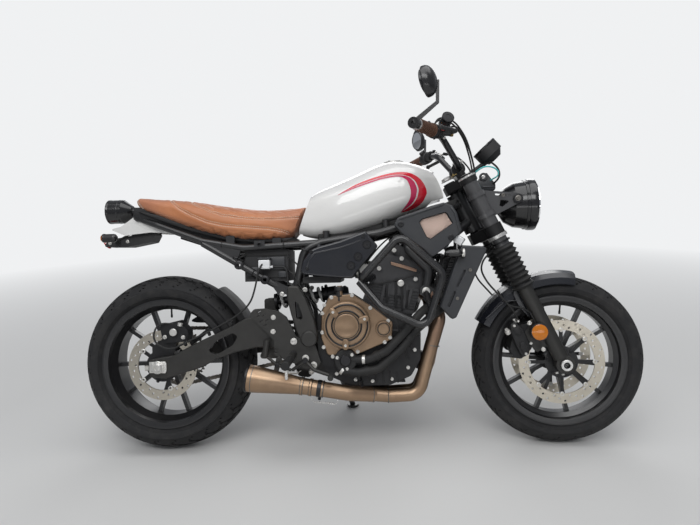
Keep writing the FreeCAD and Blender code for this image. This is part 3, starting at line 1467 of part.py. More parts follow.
def front_turn_lamps():
    """Small bullet lamps on stalks from the radiator's side panels."""
    middle = point(1014, -208, 684)
    profile = [(-24, 0), (-24, 9), (-14, 13), (18, 13), (28, 8), (32, 0)]
    points = [middle + point(along, 0, radius) for along, radius in profile]
    points.append(points[0])
    bullet = Part.Face(Part.makePolygon(points)).revolve(middle, point(1, 0, 0), 360)
    stalk = longest(rod(point(1052, -176, 674), middle, 6).cut(radiator_shrouds()))
    return both_sides(joined([bullet, stalk]))


def rear_brake_hose():
    """The rear brake line along the swingarm to the caliper."""
    return hose("rear brake line", [
        point(60, -124, 462),
        point(-2, -142, 470),
        point(-16, -152, 408),
        point(44, -153, 374),
        point(120, -149, 410),
        point(200, -148, 446),
        point(276, -148, 486),
        point(328, -148, 530),
        point(344, -132, 592),
        point(351, -126, 642),
        point(368, -106, 672),
    ], brake_hose_radius).cut(made["rear_caliper"]).cut(made["undertray"])


made = {}


def build(name, maker, steers=False):
    """Make one sub-part, keep its upright shape for its neighbours, write it parked."""
    shape = maker()
    made[name] = shape
    placed = steered(shape) if steers else shape
    parked(placed).exportStep("parts/" + name + ".step")
    bounds = placed.optimalBoundingBox(False)
    print(name, len(shape.Solids), round(shape.Volume), shape.isValid(),
          [round(v) for v in (bounds.XMin, bounds.XMax, bounds.YMin, bounds.YMax,
                              bounds.ZMin, bounds.ZMax)])


os.makedirs("parts", exist_ok=True)
build("main_frame", main_frame)
build("subframe", subframe)
build("tank", tank)
build("seat", seat)
build("undertray", undertray)
build("tail_cowl", tail_cowl)
build("tail_lamp", tail_lamp)
build("plate_bracket", plate_bracket)
build("side_covers", side_covers)
build("air_scoops", air_scoops)
build("crankcase", crankcase)
build("cylinder_block", cylinder_block)
build("intake", intake)
build("clutch_cover", clutch_cover)
build("engine_covers", engine_covers)
build("radiator", radiator)
build("water_hoses", water_hoses)
build("radiator_shrouds", radiator_shrouds)
build("front_turn_lamps", front_turn_lamps)
build("exhaust_headers", exhaust_headers)
build("muffler", muffler)
build("swingarm", swingarm)
build("rear_axle", rear_axle)
build("rear_shock", rear_shock)
build("chain", chain)
build("hugger", hugger)
build("rearsets", rearsets)
build("crash_bars", crash_bars)
build("rear_caliper", rear_caliper)
build("rear_brake_hose", rear_brake_hose)
build("stand_bracket", stand_bracket)
build("side_stand", side_stand)
build("fork_yokes", fork_yokes, steers=True)
build("fork_tubes", fork_tubes, steers=True)
build("fork_gaiters", fork_gaiters, steers=True)
build("fork_lowers", fork_lowers, steers=True)
build("front_axle", front_axle, steers=True)
build("handlebar", handlebar, steers=True)
build("grips", grips, steers=True)
build("controls", controls, steers=True)
build("mirrors", mirror_set, steers=True)
build("gauge", gauge, steers=True)
build("headlight", headlight, steers=True)
build("headlight_lens", headlight_lens, steers=True)
build("front_fender", front_fender, steers=True)
build("front_calipers", front_calipers, steers=True)
build("brake_hoses", brake_hoses, steers=True)
build("throttle_cables", throttle_cables, steers=True)
build("front_tyre", lambda: tyre(front_hub, front_tyre_radius, front_tyre_width,
                                 front_crown_radius, front_rim_half), steers=True)
build("front_rim", lambda: cast_wheel(front_hub, front_rim_half, front_hub_radius,
                                      front_hub_half, front_spoke_phase), steers=True)
build("front_discs", front_discs, steers=True)
build("rear_tyre", lambda: tyre(rear_hub, rear_tyre_radius, rear_tyre_width,
                                rear_crown_radius, rear_rim_half))
build("rear_rim", lambda: cast_wheel(rear_hub, rear_rim_half, rear_hub_radius,
                                     rear_hub_half, rear_spoke_phase))
build("rear_disc", rear_disc)
build("rear_sprocket", rear_sprocket)
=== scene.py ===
from math import asin, atan2, copysign, cos, exp, hypot, pi, radians, sin, sqrt

import bpy
from mathutils import Matrix, Vector
from mathutils.bvhtree import BVHTree
from mathutils.kdtree import KDTree


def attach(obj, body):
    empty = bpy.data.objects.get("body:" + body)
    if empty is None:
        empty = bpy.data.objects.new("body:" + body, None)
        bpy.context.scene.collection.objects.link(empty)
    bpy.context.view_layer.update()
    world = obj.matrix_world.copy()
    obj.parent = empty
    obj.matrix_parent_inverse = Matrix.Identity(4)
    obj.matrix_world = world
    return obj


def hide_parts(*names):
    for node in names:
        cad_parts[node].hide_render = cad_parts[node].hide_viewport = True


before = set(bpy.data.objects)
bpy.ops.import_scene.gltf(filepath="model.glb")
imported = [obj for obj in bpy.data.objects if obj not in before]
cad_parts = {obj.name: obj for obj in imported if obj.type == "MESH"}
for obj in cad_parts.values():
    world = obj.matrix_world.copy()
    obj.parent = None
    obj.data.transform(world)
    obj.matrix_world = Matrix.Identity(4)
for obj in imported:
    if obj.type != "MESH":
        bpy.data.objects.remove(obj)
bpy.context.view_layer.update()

# Pieces are drawn upright, mostly in millimetres: the rear axle is at x = 0, the wheels' plane at y = 0 and the
# ground at z = 0. Those of the front end are then turned with the bars, and all lean onto the stand.
MM = 0.001
LEAN = radians(10.5)
PARKED = Matrix.Translation((-0.695, -0.195, 0.0)) @ Matrix.Rotation(-LEAN, 4, "X")
UPRIGHT = PARKED.inverted()
RAKE = radians(25.8)
UP_THE_FORK = Vector((-sin(RAKE), 0.0, cos(RAKE)))
STEM_FOOT = Vector((1.1243, 0.0, 0.768))
BARS_TURNED = radians(-4.0)
STEERED = (Matrix.Translation(STEM_FOOT) @ Matrix.Rotation(BARS_TURNED, 4, UP_THE_FORK)
           @ Matrix.Translation(-STEM_FOOT))
PLACE_OF_BODY = {
    "chassis": PARKED, "rear_wheel": PARKED, "stand": PARKED,
    "steering": PARKED @ STEERED, "front_wheel": PARKED @ STEERED,
}
FRONT_HUB = (1405.0, 0.0, 301.06)
REAR_HUB = (0.0, 0.0, 316.56)
FRONT_HUB_STEERED = STEERED @ Vector((1.405, 0.0, 0.30106))
CROSS_AXIS_STEERED = STEERED.to_3x3() @ Vector((0.0, 1.0, 0.0))
OUT_RIGHT = (0.0, -1.0, 0.0)
OUT_LEFT = (0.0, 1.0, 0.0)
UP, DOWN = (0, 0, 1), (0, 0, -1)
AHEAD, BACK = (1, 0, 0), (-1, 0, 0)
# Places and slopes that several pieces share.
FORK_SLOPE, FORK_HALF_SPREAD, STEM_BEHIND_FORK = 0.4834, 105, 54.98
CLUTCH_HUB, CLUTCH_PLUG, CLAW_ANGLES = (658, 0, 452), (781, 0, 436), (133, 20, 266)
PUMP_HUB, ALTERNATOR_HUB, SMALL_SPROCKET_HUB = (651, 0, 335), (792, 0, 372), (612, 0, 372)
PORT_AXIS, FAN_AXIS = (0.93, 0, -0.37), (-0.956, 0, 0.293)
LAMP_MIDDLE, BULB_MIDDLE, REFLECTOR_MIDDLE = (1303, 0, 858), (1315, 0, 858), (1318, 0, 415)
TAIL_LAMP_MIDDLE, REAR_TURN_LAMP = (0, 0, 876), (-202, -104, 771)
SHOCK_FOOT, SHOCK_AXIS = (368, 0, 524), (0.9912, 0.0, 0.1322)


def at(x, y, z):
    """A point given in millimetres."""
    return Vector((x, y, z)) * MM


# ---- finishes ----

class Finish:
    """One material, built from its shader outwards."""

    def __init__(self, name, colour, roughness, metallic=0.0):
        self.material = bpy.data.materials.new(name)
        self.material.use_nodes = True
        self.material.diffuse_color = (*colour, 1.0)
        self.tree = self.material.node_tree
        self.shader = self.tree.nodes["Principled BSDF"]
        self.shader.inputs["Base Color"].default_value = (*colour, 1.0)
        self.shader.inputs["Roughness"].default_value = roughness
        self.shader.inputs["Metallic"].default_value = metallic
        self.colour = None
        self.normal = None

    def plain(self, **values):
        """Sets plain values on the shader's own sockets."""
        for socket, value in values.items():
            self.shader.inputs[socket.replace("_", " ")].default_value = value
        return self

    def node(self, kind, inputs=(), **settings):
        made = self.tree.nodes.new("ShaderNode" + kind)
        for name, value in settings.items():
            setattr(made, name, value)
        for socket, value in dict(inputs).items():
            if isinstance(value, bpy.types.NodeSocket):
                self.tree.links.new(value, made.inputs[socket])
            else:
                made.inputs[socket].default_value = value
        return made

    def sum(self, operation, *values):
        return self.node("Math", enumerate(values), operation=operation).outputs[0]

    def place(self, scale=(1, 1, 1), upright=False):
        """The point on the piece, in metres, turned upright where the pattern follows the motorcycle."""
        point = self.node("TexCoord").outputs["Object"]
        if upright:
            inputs = {"Vector": point, "Rotation": (LEAN, 0, 0), "Location": UPRIGHT.translation}
            point = self.node("Mapping", inputs).outputs[0]
        return self.node("Mapping", {"Vector": point, "Scale": scale}).outputs[0]

    def axes(self):
        """The x, y and z sockets of that point, turned upright."""
        return self.node("SeparateXYZ", {"Vector": self.place(upright=True)}).outputs

    def noise(self, scale, detail=4.0, point=None, roughness=0.55):
        inputs = {"Vector": point or self.place(), "Scale": scale, "Detail": detail, "Roughness": roughness}
        return self.node("TexNoise", inputs).outputs["Fac"]

    def between(self, value, low, high, out_low=0.0, out_high=1.0):
        """Spreads a value from low..high over out_low..out_high."""
        inputs = {"Value": value, "From Min": low, "From Max": high, "To Min": out_low, "To Max": out_high}
        return self.node("MapRange", inputs).outputs[0]

    def tint(self, amount, colour):
        """Lays a second colour over the first by an amount."""
        under = self.colour or self.shader.inputs["Base Color"].default_value[:]
        mixed = self.node("MixRGB", {"Fac": amount, "Color1": under, "Color2": (*colour, 1.0)})
        self.colour = mixed.outputs[0]
        self.tree.links.new(self.colour, self.shader.inputs["Base Color"])
        return self

    def gloss(self, amount, low, high):
        """Lets the roughness run from low to high with an amount."""
        self.tree.links.new(self.between(amount, 0.0, 1.0, low, high), self.shader.inputs["Roughness"])
        return self

    def relief(self, height, depth, strength=1.0):
        """Adds a fine relief of a depth in metres."""
        inputs = {"Height": height, "Distance": depth, "Strength": strength}
        if self.normal:
            inputs["Normal"] = self.normal
        self.normal = self.node("Bump", inputs).outputs[0]
        self.tree.links.new(self.normal, self.shader.inputs["Normal"])
        return self

    def dusty(self, colour=(0.30, 0.27, 0.23), most=0.12, scale=9.0):
        """Road dust in soft patches."""
        patches = self.noise(scale, 6.0)
        return self.tint(self.between(patches, 0.48, 0.78, 0.0, most), colour)

    def round_axis(self, foot, direction, upright_place):
        """Distance from an axis and height along it, in metres, for a place turned upright."""
        arm = self.node("VectorMath", {0: upright_place, 1: foot}, operation="SUBTRACT").outputs[0]
        along = self.node("VectorMath", {0: arm, 1: direction}, operation="DOT_PRODUCT").outputs["Value"]
        length = self.node("VectorMath", {0: arm}, operation="LENGTH").outputs["Value"]
        off = self.sum("SQRT", self.sum("SUBTRACT", self.sum("MULTIPLY", length, length),
                                        self.sum("MULTIPLY", along, along)))
        return off, along

    def inside(self, value, low, high):
        """One where a value lies between two limits, and nought elsewhere."""
        return self.sum("MULTIPLY", self.sum("GREATER_THAN", value, low), self.sum("LESS_THAN", value, high))


def cast_metal(name, colour, roughness, grain=0.00016):
    made = Finish(name, colour, roughness, 0.55)
    fine = made.noise(900.0, 3.0)
    broad = made.noise(26.0, 4.0)
    made.tint(made.between(broad, 0.35, 0.75, 0.0, 0.3), tuple(channel * 1.6 + 0.004 for channel in colour))
    made.gloss(fine, roughness - 0.10, roughness + 0.14)
    made.relief(fine, grain, 0.6)
    return made.dusty(most=0.035)


def powder_coat(name, colour, roughness):
    made = Finish(name, colour, roughness)
    made.plain(Coat_Weight=0.35, Coat_Roughness=0.22)
    made.relief(made.noise(1400.0, 2.0), 0.00006, 0.5)
    made.gloss(made.noise(14.0, 5.0), roughness - 0.07, roughness + 0.10)
    return made.dusty(most=0.02)


def moulded(name, colour, roughness):
    made = Finish(name, colour, roughness)
    pebbles = made.node("TexVoronoi", {"Vector": made.place(), "Scale": 900.0}).outputs["Distance"]
    made.relief(pebbles, 0.00009, 0.45)
    made.gloss(made.noise(18.0, 5.0), roughness - 0.06, roughness + 0.12)
    return made.dusty(most=0.03)


def rubber(name, colour, roughness):
    made = Finish(name, colour, roughness)
    made.plain(Specular_IOR_Level=0.35)
    made.relief(made.noise(700.0, 3.0), 0.00008, 0.5)
    made.gloss(made.noise(30.0, 5.0), roughness - 0.08, roughness + 0.10)
    return made.dusty(most=0.035)


def bare_metal(name, colour, roughness, grain=240.0):
    made = Finish(name, colour, roughness, 1.0)
    streaks = made.noise(grain, 5.0, made.place((1.0, 0.12, 1.0)))
    made.gloss(streaks, roughness - 0.08, roughness + 0.14)
    made.relief(streaks, 0.00003, 0.4)
    stain = made.noise(22.0, 6.0)
    made.tint(made.between(stain, 0.5, 0.8, 0.0, 0.35), tuple(channel * 0.62 for channel in colour))
    return made


def gloss_paint(name, colour, roughness=0.22):
    made = Finish(name, colour, roughness)
    made.plain(Coat_Weight=1.0, Coat_Roughness=0.05)
    made.tint(made.between(made.noise(7.0, 3.0), 0.4, 0.7, 0.0, 0.2), tuple(channel * 0.8 for channel in colour))
    return made


def brake_steel(name, hub, tilt, carrier_radius):
    """Turned steel with fine rings about a hub, and a black carrier inside a radius."""
    made = Finish(name, (0.60, 0.555, 0.47), 0.30, 1.0)
    off, _ = made.round_axis(hub, tilt, made.place(upright=True))
    rings = made.node("TexNoise", {"W": off, "Scale": 2600.0, "Detail": 2.0},
                      noise_dimensions="1D").outputs["Fac"]
    made.gloss(rings, 0.23, 0.43)
    made.relief(rings, 0.00004, 0.5)
    made.tint(made.between(made.noise(16.0, 5.0), 0.45, 0.75, 0.0, 0.3), (0.42, 0.38, 0.32))
    carrier = made.sum("LESS_THAN", off, carrier_radius)
    made.tint(carrier, (0.014, 0.014, 0.015))
    bare = made.sum("SUBTRACT", 1.0, made.sum("MULTIPLY", carrier, 0.8))
    made.tree.links.new(bare, made.shader.inputs["Metallic"])
    return made


def pearl_white():
    made = Finish("pearl_white_paint", (0.71, 0.705, 0.685), 0.26)
    made.plain(Coat_Weight=1.0, Coat_Roughness=0.04)
    flake = made.node("TexVoronoi", {"Vector": made.place(), "Scale": 2600.0}).outputs["Color"]
    sparkle = made.node("SeparateColor", {"Color": flake}).outputs[0]
    made.tint(made.between(sparkle, 0.6, 1.0, 0.0, 0.10), (0.86, 0.80, 0.74))
    made.tint(made.between(made.noise(5.0, 2.0), 0.4, 0.7, 0.0, 0.12), (0.66, 0.67, 0.70))
    made.relief(made.noise(160.0, 2.0), 0.00004, 0.3)
    return made


def tan_leather():
    """Smooth hide: fine pebbled grain, soft creases and darker worn patches."""
    made = Finish("tan_leather", (0.50, 0.190, 0.074), 0.44)
    made.plain(Coat_Weight=0.12, Coat_Roughness=0.35, Sheen_Weight=0.08)
    top = made.between(made.sum("ABSOLUTE", made.axes()["Y"]), 0.112, 0.088)
    made.tint(made.sum("MULTIPLY", top, 0.75), (0.42, 0.180, 0.108))
    made.tint(made.between(made.noise(9.0, 5.0), 0.35, 0.72, 0.0, 0.5), (0.34, 0.118, 0.050))
    made.tint(made.between(made.noise(60.0, 6.0), 0.50, 0.80, 0.0, 0.30), (0.52, 0.235, 0.115))
    pebbles = made.node("TexVoronoi", {"Vector": made.place(), "Scale": 620.0}).outputs["Distance"]
    creases = made.noise(75.0, 8.0, roughness=0.7)
    made.relief(creases, 0.0007, 0.35)
    made.relief(pebbles, 0.00025, 0.55)
    made.gloss(made.noise(40.0, 5.0), 0.36, 0.60)
    return made


def shock_finish():
    """A dark damper whose coil spring is enamelled white."""
    made = Finish("shock_black_and_white", (0.022, 0.022, 0.024), 0.34)
    off, along = made.round_axis(at(*SHOCK_FOOT), SHOCK_AXIS, made.place(upright=True))
    coil = made.sum("MULTIPLY", made.sum("GREATER_THAN", off, 0.0178), made.inside(along, 0.0285, 0.198))
    made.tint(coil, (0.70, 0.70, 0.68))
    made.gloss(made.noise(40.0, 4.0), 0.26, 0.46)
    return made.dusty(most=0.12, scale=30.0)


def headlight_finish():
    """A glossy black bowl between grey plates, told apart by their distance from the lamp's middle."""
    made = powder_coat("headlight_black_and_grey", (0.008, 0.008, 0.009), 0.15)
    _, aside = made.round_axis(FRONT_HUB_STEERED, CROSS_AXIS_STEERED, made.place(upright=True))
    return made.tint(made.sum("GREATER_THAN", made.sum("ABSOLUTE", aside), 0.0935), (0.072, 0.072, 0.074))


def heated_pipe():
    """Bronzed steel that has taken straw and plum tints where it runs hot."""
    made = bare_metal("bronzed_exhaust_steel", (0.345, 0.235, 0.155), 0.36)
    high = made.between(made.axes()["Z"], 0.30, 0.56)
    made.tint(made.sum("MULTIPLY", high, 0.7), (0.26, 0.16, 0.13))
    clouds = made.noise(14.0, 4.0)
    made.tint(made.between(clouds, 0.45, 0.75, 0.0, 0.5), (0.43, 0.31, 0.205))
    return made.dusty(most=0.10)


def radiator_core():
    """Fine fins between flat tubes, on the core's slanted face."""
    made = Finish("radiator_core", (0.020, 0.020, 0.022), 0.5, 0.4)
    point = made.axes()
    fins = made.sum("SINE", made.sum("MULTIPLY", point["Y"], 2200.0))
    tubes = made.sum("SINE", made.sum("MULTIPLY", point["Z"], 700.0))
    made.relief(fins, 0.0006, 0.8)
    made.relief(tubes, 0.0009, 0.7)
    made.tint(made.between(tubes, 0.2, 0.9, 0.0, 0.6), (0.07, 0.07, 0.072))
    return made


def fine_mesh():
    """Woven copper-coloured wire behind the scoop's frame."""
    made = Finish("copper_mesh", (0.62, 0.47, 0.40), 0.38, 0.7)
    point = made.axes()
    slants = [made.sum("SINE", made.sum("MULTIPLY", made.sum(way, point["X"], point["Z"]), 1500.0))
              for way in ("ADD", "SUBTRACT")]
    weave = made.sum("MULTIPLY", *slants)
    made.tint(made.between(weave, 0.0, 1.0, 0.0, 0.45), (0.20, 0.13, 0.10))
    made.relief(weave, 0.0005, 0.7)
    return made


def tyre_rubber():
    made = rubber("tyre_rubber", (0.016, 0.016, 0.017), 0.72)
    made.relief(made.noise(220.0, 5.0), 0.0002, 0.5)
    return made.dusty((0.16, 0.15, 0.135), 0.12, 30.0)


FINISHES = {
    "pearl_white": pearl_white(),
    "stripe_red": gloss_paint("stripe_red", (0.62, 0.012, 0.030)),
    "stripe_rose": gloss_paint("stripe_rose", (0.52, 0.022, 0.090)),
    "frame_black": powder_coat("black_powder_coat", (0.014, 0.014, 0.015), 0.36),
    "guard_black": powder_coat("black_guard_enamel", (0.010, 0.010, 0.011), 0.26),
    "fork_grey": powder_coat("dark_grey_fork_cover", (0.062, 0.062, 0.064), 0.30),
    "lamp_black": powder_coat("gloss_black_lamp_bowl", (0.008, 0.008, 0.009), 0.14),
    "cover_black": powder_coat("satin_blue_black_paint", (0.010, 0.0112, 0.0155), 0.22),
    "scoop_grey": moulded("dark_grey_moulding", (0.030, 0.032, 0.036), 0.38),
    "plastic_black": moulded("black_moulding", (0.013, 0.013, 0.014), 0.52),
    "engine_black": cast_metal("black_engine_casting", (0.020, 0.020, 0.021), 0.46),
    "engine_grey": cast_metal("dark_grey_casting", (0.050, 0.050, 0.052), 0.48),
    "bronze_cover": cast_metal("bronze_magnesium_cover", (0.235, 0.158, 0.098), 0.30),
    "bronze_pipe": heated_pipe(),
    "arm_grey": cast_metal("grey_black_forging", (0.040, 0.039, 0.037), 0.40),
    "rubber_black": rubber("black_rubber", (0.018, 0.018, 0.018), 0.62),
    "tyre_black": tyre_rubber(),
    "grip_brown": rubber("brown_grip_rubber", (0.12, 0.060, 0.038), 0.60),
    "steel_bright": bare_metal("bright_steel", (0.74, 0.73, 0.71), 0.26).plain(Metallic=0.75),
    "headlight": headlight_finish(),
    "steel_dark": bare_metal("dark_steel", (0.20, 0.19, 0.175), 0.40),
    "screw_black": bare_metal("black_oxide_screw", (0.045, 0.045, 0.047), 0.38),
    "screw_zinc": bare_metal("zinc_screw", (0.66, 0.65, 0.62), 0.34).plain(Metallic=0.7),
    "brass": bare_metal("brass_fitting", (0.62, 0.44, 0.17), 0.30),
    "chain_steel": bare_metal("oiled_chain_steel", (0.17, 0.155, 0.135), 0.36),
    "wheel_black": powder_coat("black_wheel_enamel", (0.012, 0.012, 0.013), 0.30),
    "front_disc_steel": brake_steel("front_disc_steel", FRONT_HUB_STEERED, CROSS_AXIS_STEERED, 0.1085),
    "rear_disc_steel": brake_steel("rear_disc_steel", at(*REAR_HUB), OUT_LEFT, 0.0865),
    "tan_leather": tan_leather(),
    "thread": moulded("cream_thread", (0.62, 0.50, 0.40), 0.70),
    "shock": shock_finish(),
    "radiator_core": radiator_core(),
    "copper_mesh": fine_mesh(),
    "mirror_glass": Finish("mirror_glass", (0.82, 0.84, 0.86), 0.03, 1.0),
    "reflector_bowl": Finish("lamp_reflector", (0.86, 0.86, 0.87), 0.07, 1.0),
    "lens": Finish("clear_lens", (0.95, 0.96, 0.97), 0.03).plain(Transmission_Weight=1.0, IOR=1.49),
    "red_lens": Finish("red_lens", (0.62, 0.015, 0.012), 0.10).plain(Transmission_Weight=0.35, IOR=1.49),
    "amber_lens": Finish("amber_lens", (0.80, 0.25, 0.02), 0.12).plain(Transmission_Weight=0.35, IOR=1.49),
    "pale_lens": Finish("pale_lens", (0.72, 0.73, 0.74), 0.14).plain(Coat_Weight=1.0),
    "switch_red": moulded("red_switch", (0.50, 0.020, 0.015), 0.36),
    "dial_face": Finish("dial_face", (0.012, 0.013, 0.015), 0.45),
    "dial_mark": Finish("dial_mark", (0.80, 0.80, 0.78), 0.5),
    "cyan_lead": moulded("cyan_lead", (0.10, 0.52, 0.52), 0.40),
}

# The solids that each finish is for.
NODES_OF_FINISH = {
    "frame_black": "main_frame subframe stand_bracket side_stand",
    "pearl_white": "tank tail_cowl",
    "tan_leather": "seat",
    "plastic_black": "undertray plate_bracket hugger intake controls gauge",
    "lamp_black": "tail_lamp front_turn_lamps",
    "cover_black": "side_covers front_fender",
    "scoop_grey": "air_scoops radiator_shrouds",
    "engine_black": "crankcase rear_caliper fork_yokes front_calipers",
    "engine_grey": "cylinder_block",
    "bronze_cover": "engine_covers clutch_cover",
    "rubber_black": "water_hoses rear_brake_hose throttle_cables fork_gaiters brake_hoses",
    "radiator_core": "radiator",
    "bronze_pipe": "exhaust_headers muffler",
    "arm_grey": "swingarm rearsets fork_lowers",
    "steel_bright": "rear_axle front_axle",
    "shock": "rear_shock",
    "chain_steel": "chain",
    "guard_black": "crash_bars handlebar mirrors",
    "fork_grey": "fork_tubes",
    "grip_brown": "grips",
    "headlight": "headlight",
    "lens": "headlight_lens",
    "tyre_black": "front_tyre rear_tyre",
    "wheel_black": "front_rim rear_rim",
    "front_disc_steel": "front_discs",
    "rear_disc_steel": "rear_disc",
    "steel_dark": "rear_sprocket",
}


def finish_the_solids():
    for finish, nodes in NODES_OF_FINISH.items():
        for node in nodes.split():
            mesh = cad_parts[node].data
            mesh.materials.clear()
            mesh.materials.append(FINISHES[finish].material)


# ---- shaping ----

def deselect():
    """Ends any editing and leaves nothing selected."""
    if bpy.context.object and bpy.context.object.mode != "OBJECT":
        bpy.ops.object.mode_set(mode="OBJECT")
    bpy.ops.object.select_all(action="DESELECT")


def pick(piece):
    """Makes one piece the only thing selected."""
    deselect()
    piece.select_set(True)
    bpy.context.view_layer.objects.active = piece


def facing(place, direction):
    """Turns the z axis along a direction and moves to a place given in millimetres."""
    turn = Vector(direction).to_track_quat("Z", "Y").to_matrix().to_4x4()
    return Matrix.Translation(at(*place)) @ turn


def edit_all():
    """Opens the active piece's mesh with all of it selected."""
    bpy.ops.object.mode_set(mode="EDIT")
    bpy.ops.mesh.select_mode(type="VERT")
    bpy.ops.mesh.select_all(action="SELECT")


def close_up(bevel=0.0, steps=2):
    """Turns every face outwards, rounds the edges where a bevel is given, and ends the editing."""
    bpy.ops.mesh.select_all(action="SELECT")
    bpy.ops.mesh.normals_make_consistent(inside=False)
    if bevel:
        bpy.ops.mesh.bevel(offset=bevel * MM, segments=steps, affect="EDGES")
    bpy.ops.object.mode_set(mode="OBJECT")


def hoop(profile, place=(0, 0, 0), direction=UP, steps=40, skew=None, filled=False):
    """A closed ring whose section runs through (radius, height) pairs, each turned by a skew."""
    deselect()
    skew = skew or [0.0] * len(profile)
    radius, height = profile[0]
    bpy.ops.mesh.primitive_circle_add(vertices=steps, radius=radius * MM,
                                      fill_type="NGON" if filled else "NOTHING", location=(0, 0, height * MM),
                                      rotation=(0, 0, skew[0]))
    piece = bpy.context.object
    bpy.ops.object.transform_apply(location=True, rotation=True)
    edit_all()
    stages = list(zip(profile, skew))
    for ((before, low), old_turn), ((after, high), new_turn) in zip(stages, stages[1:]):
        bpy.ops.mesh.extrude_region_move(TRANSFORM_OT_translate={"value": (0, 0, (high - low) * MM)})
        centre = (0, 0, high * MM)
        if after != before:
            share = after / before
            bpy.ops.transform.resize(value=(share, share, 1), center_override=centre)
        if new_turn != old_turn:
            bpy.ops.transform.rotate(value=new_turn - old_turn, orient_axis="Z", center_override=centre)
    if not filled:
        bpy.ops.mesh.select_all(action="DESELECT")
        bpy.ops.mesh.select_non_manifold()
        bpy.ops.mesh.bridge_edge_loops()
    close_up()
    piece.data.transform(facing(place, direction))
    return piece


def lathe(profile, place=(0, 0, 0), direction=UP, steps=40):
    """A turned piece: a disc drawn out and scaled through (radius, height) pairs along its axis."""
    return hoop(profile, place, direction, steps, filled=True)


def slab(outline, near, far, bevel=0.0, steps=2):
    """A plate drawn out of an (x, z) outline from one y plane to another, with rounded edges."""
    deselect()
    bpy.ops.mesh.primitive_circle_add(vertices=len(outline), radius=1, fill_type="NGON")
    piece = bpy.context.object
    for vertex, (x, z) in zip(piece.data.vertices, outline):
        vertex.co = at(x, near, z)
    edit_all()
    bpy.ops.mesh.extrude_region_move(TRANSFORM_OT_translate={"value": (0, (far - near) * MM, 0)})
    close_up(bevel, steps)
    return piece


def brick(size, place, direction=UP, bevel=1.0, spin=0.0):
    """A rounded block, its z side along a direction."""
    deselect()
    bpy.ops.mesh.primitive_cube_add(size=1)
    piece = bpy.context.object
    piece.data.transform(Matrix.Diagonal((*at(*size), 1)))
    edit_all()
    close_up(bevel)
    piece.data.transform(facing(place, direction) @ Matrix.Rotation(radians(spin), 4, "Z"))
    return piece


def put_in(name, data):
    """Adds an object that holds some data to the scene."""
    piece = bpy.data.objects.new(name, data)
    bpy.context.collection.objects.link(piece)
    return piece


def wire(points, radius, sides=3):
    """A round wire or tube along a smooth line through the space near its points."""
    line = bpy.data.curves.new("wire", "CURVE")
    line.dimensions = "3D"
    line.bevel_depth = radius * MM
    line.bevel_resolution = sides
    line.use_fill_caps = True
    line.resolution_u = 6
    run = line.splines.new("NURBS")
    run.points.add(len(points) - 1)
    for knot, place in zip(run.points, points):
        knot.co = (*at(*place), 1.0)
    run.order_u = 3
    run.use_endpoint_u = True
    return put_in("wire", line)


def pipe(points, radius, sides=3):
    """The same tube as a mesh, to be joined with other pieces."""
    line = wire(points, radius, sides)
    piece = put_in("pipe", bpy.data.meshes.new_from_object(line))
    bpy.data.objects.remove(line)
    return piece


def joined(pieces):
    """Makes one mesh of several pieces."""
    deselect()
    for piece in pieces:
        piece.select_set(True)
    bpy.context.view_layer.objects.active = pieces[0]
    if len(pieces) > 1:
        bpy.ops.object.join()
    return pieces[0]


def copies(first, places):
    """Copies a piece to each place, every copy with its own mesh, and joins them."""
    twins = []
    for place in places:
        twin = put_in(first.name, first.data.copy())
        twin.data.transform(place)
        if place.determinant() < 0:
            twin.data.flip_normals()
        twins.append(twin)
    bpy.data.objects.remove(first)
    return joined(twins)


def both_sides(piece):
    """A piece and its mirror image on the motorcycle's other side."""
    return copies(piece, [Matrix.Identity(4), Matrix.Diagonal((1, -1, 1, 1))])


def round_hub(hub, count, first=0.0):
    """Turns about the cross axis of a hub, given in millimetres, spread evenly."""
    centre = at(*hub)
    for i in range(count):
        turn = Matrix.Rotation(radians(first + 360.0 * i / count), 4, "Y")
        yield Matrix.Translation(centre) @ turn @ Matrix.Translation(-centre)


def set_down(piece, name, finish, body="chassis", smooth=32.0):
    """Names a piece, finishes it, leans it with the motorcycle and fixes it to its body."""
    deselect()
    piece.name = name
    piece.data.name = name
    if piece.type == "MESH":
        pick(piece)
        bpy.ops.object.shade_smooth_by_angle(angle=radians(smooth))
    piece.data.transform(PLACE_OF_BODY[body])
    piece.data.materials.clear()
    piece.data.materials.append(FINISHES[finish].material)
    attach(piece, body)
    return piece


def on_bars(piece, name, finish, smooth=32.0):
    """Sets a piece down on what turns with the handlebar."""
    set_down(piece, name, finish, "steering", smooth)


def socket_screw(head, height, place, direction):
    """A round-headed screw with a hexagon socket, on a thin washer."""
    return lathe([(head * 1.35, 0), (head * 1.35, 0.6), (head * 1.28, 0.9), (head, 0.9), (head, height - 0.6),
                  (head * 0.9, height), (head * 0.56, height), (head * 0.5, height * 0.45)],
                 place, direction, 18)


def hex_bolt(head, height, place, direction):
    """A six-sided head on a round washer."""
    washer = lathe([(head * 1.25, 0), (head * 1.25, 0.8), (head * 1.15, 1.1)], steps=20)
    nut = lathe([(head, 1.1), (head, height - 0.7), (head * 0.88, height), (head * 0.5, height),
                 (head * 0.45, height - 1.2)], steps=6)
    bolt = joined([washer, nut])
    bolt.data.transform(facing(place, direction))
    return bolt


def screws(kind, head, height, places, direction):
    """A row of like fasteners that all face one way."""
    return copies(kind(head, height, (0, 0, 0), UP), [facing(place, direction) for place in places])


def outwards(side):
    """Straight out of the motorcycle's right (below nought) or left side."""
    return OUT_RIGHT if side < 0 else OUT_LEFT


def screw_row(kind, head, height, y, spots):
    """Like fasteners at (x, z) spots of a plane, facing out of it."""
    return screws(kind, head, height, [(x, y, z) for x, z in spots], outwards(y))


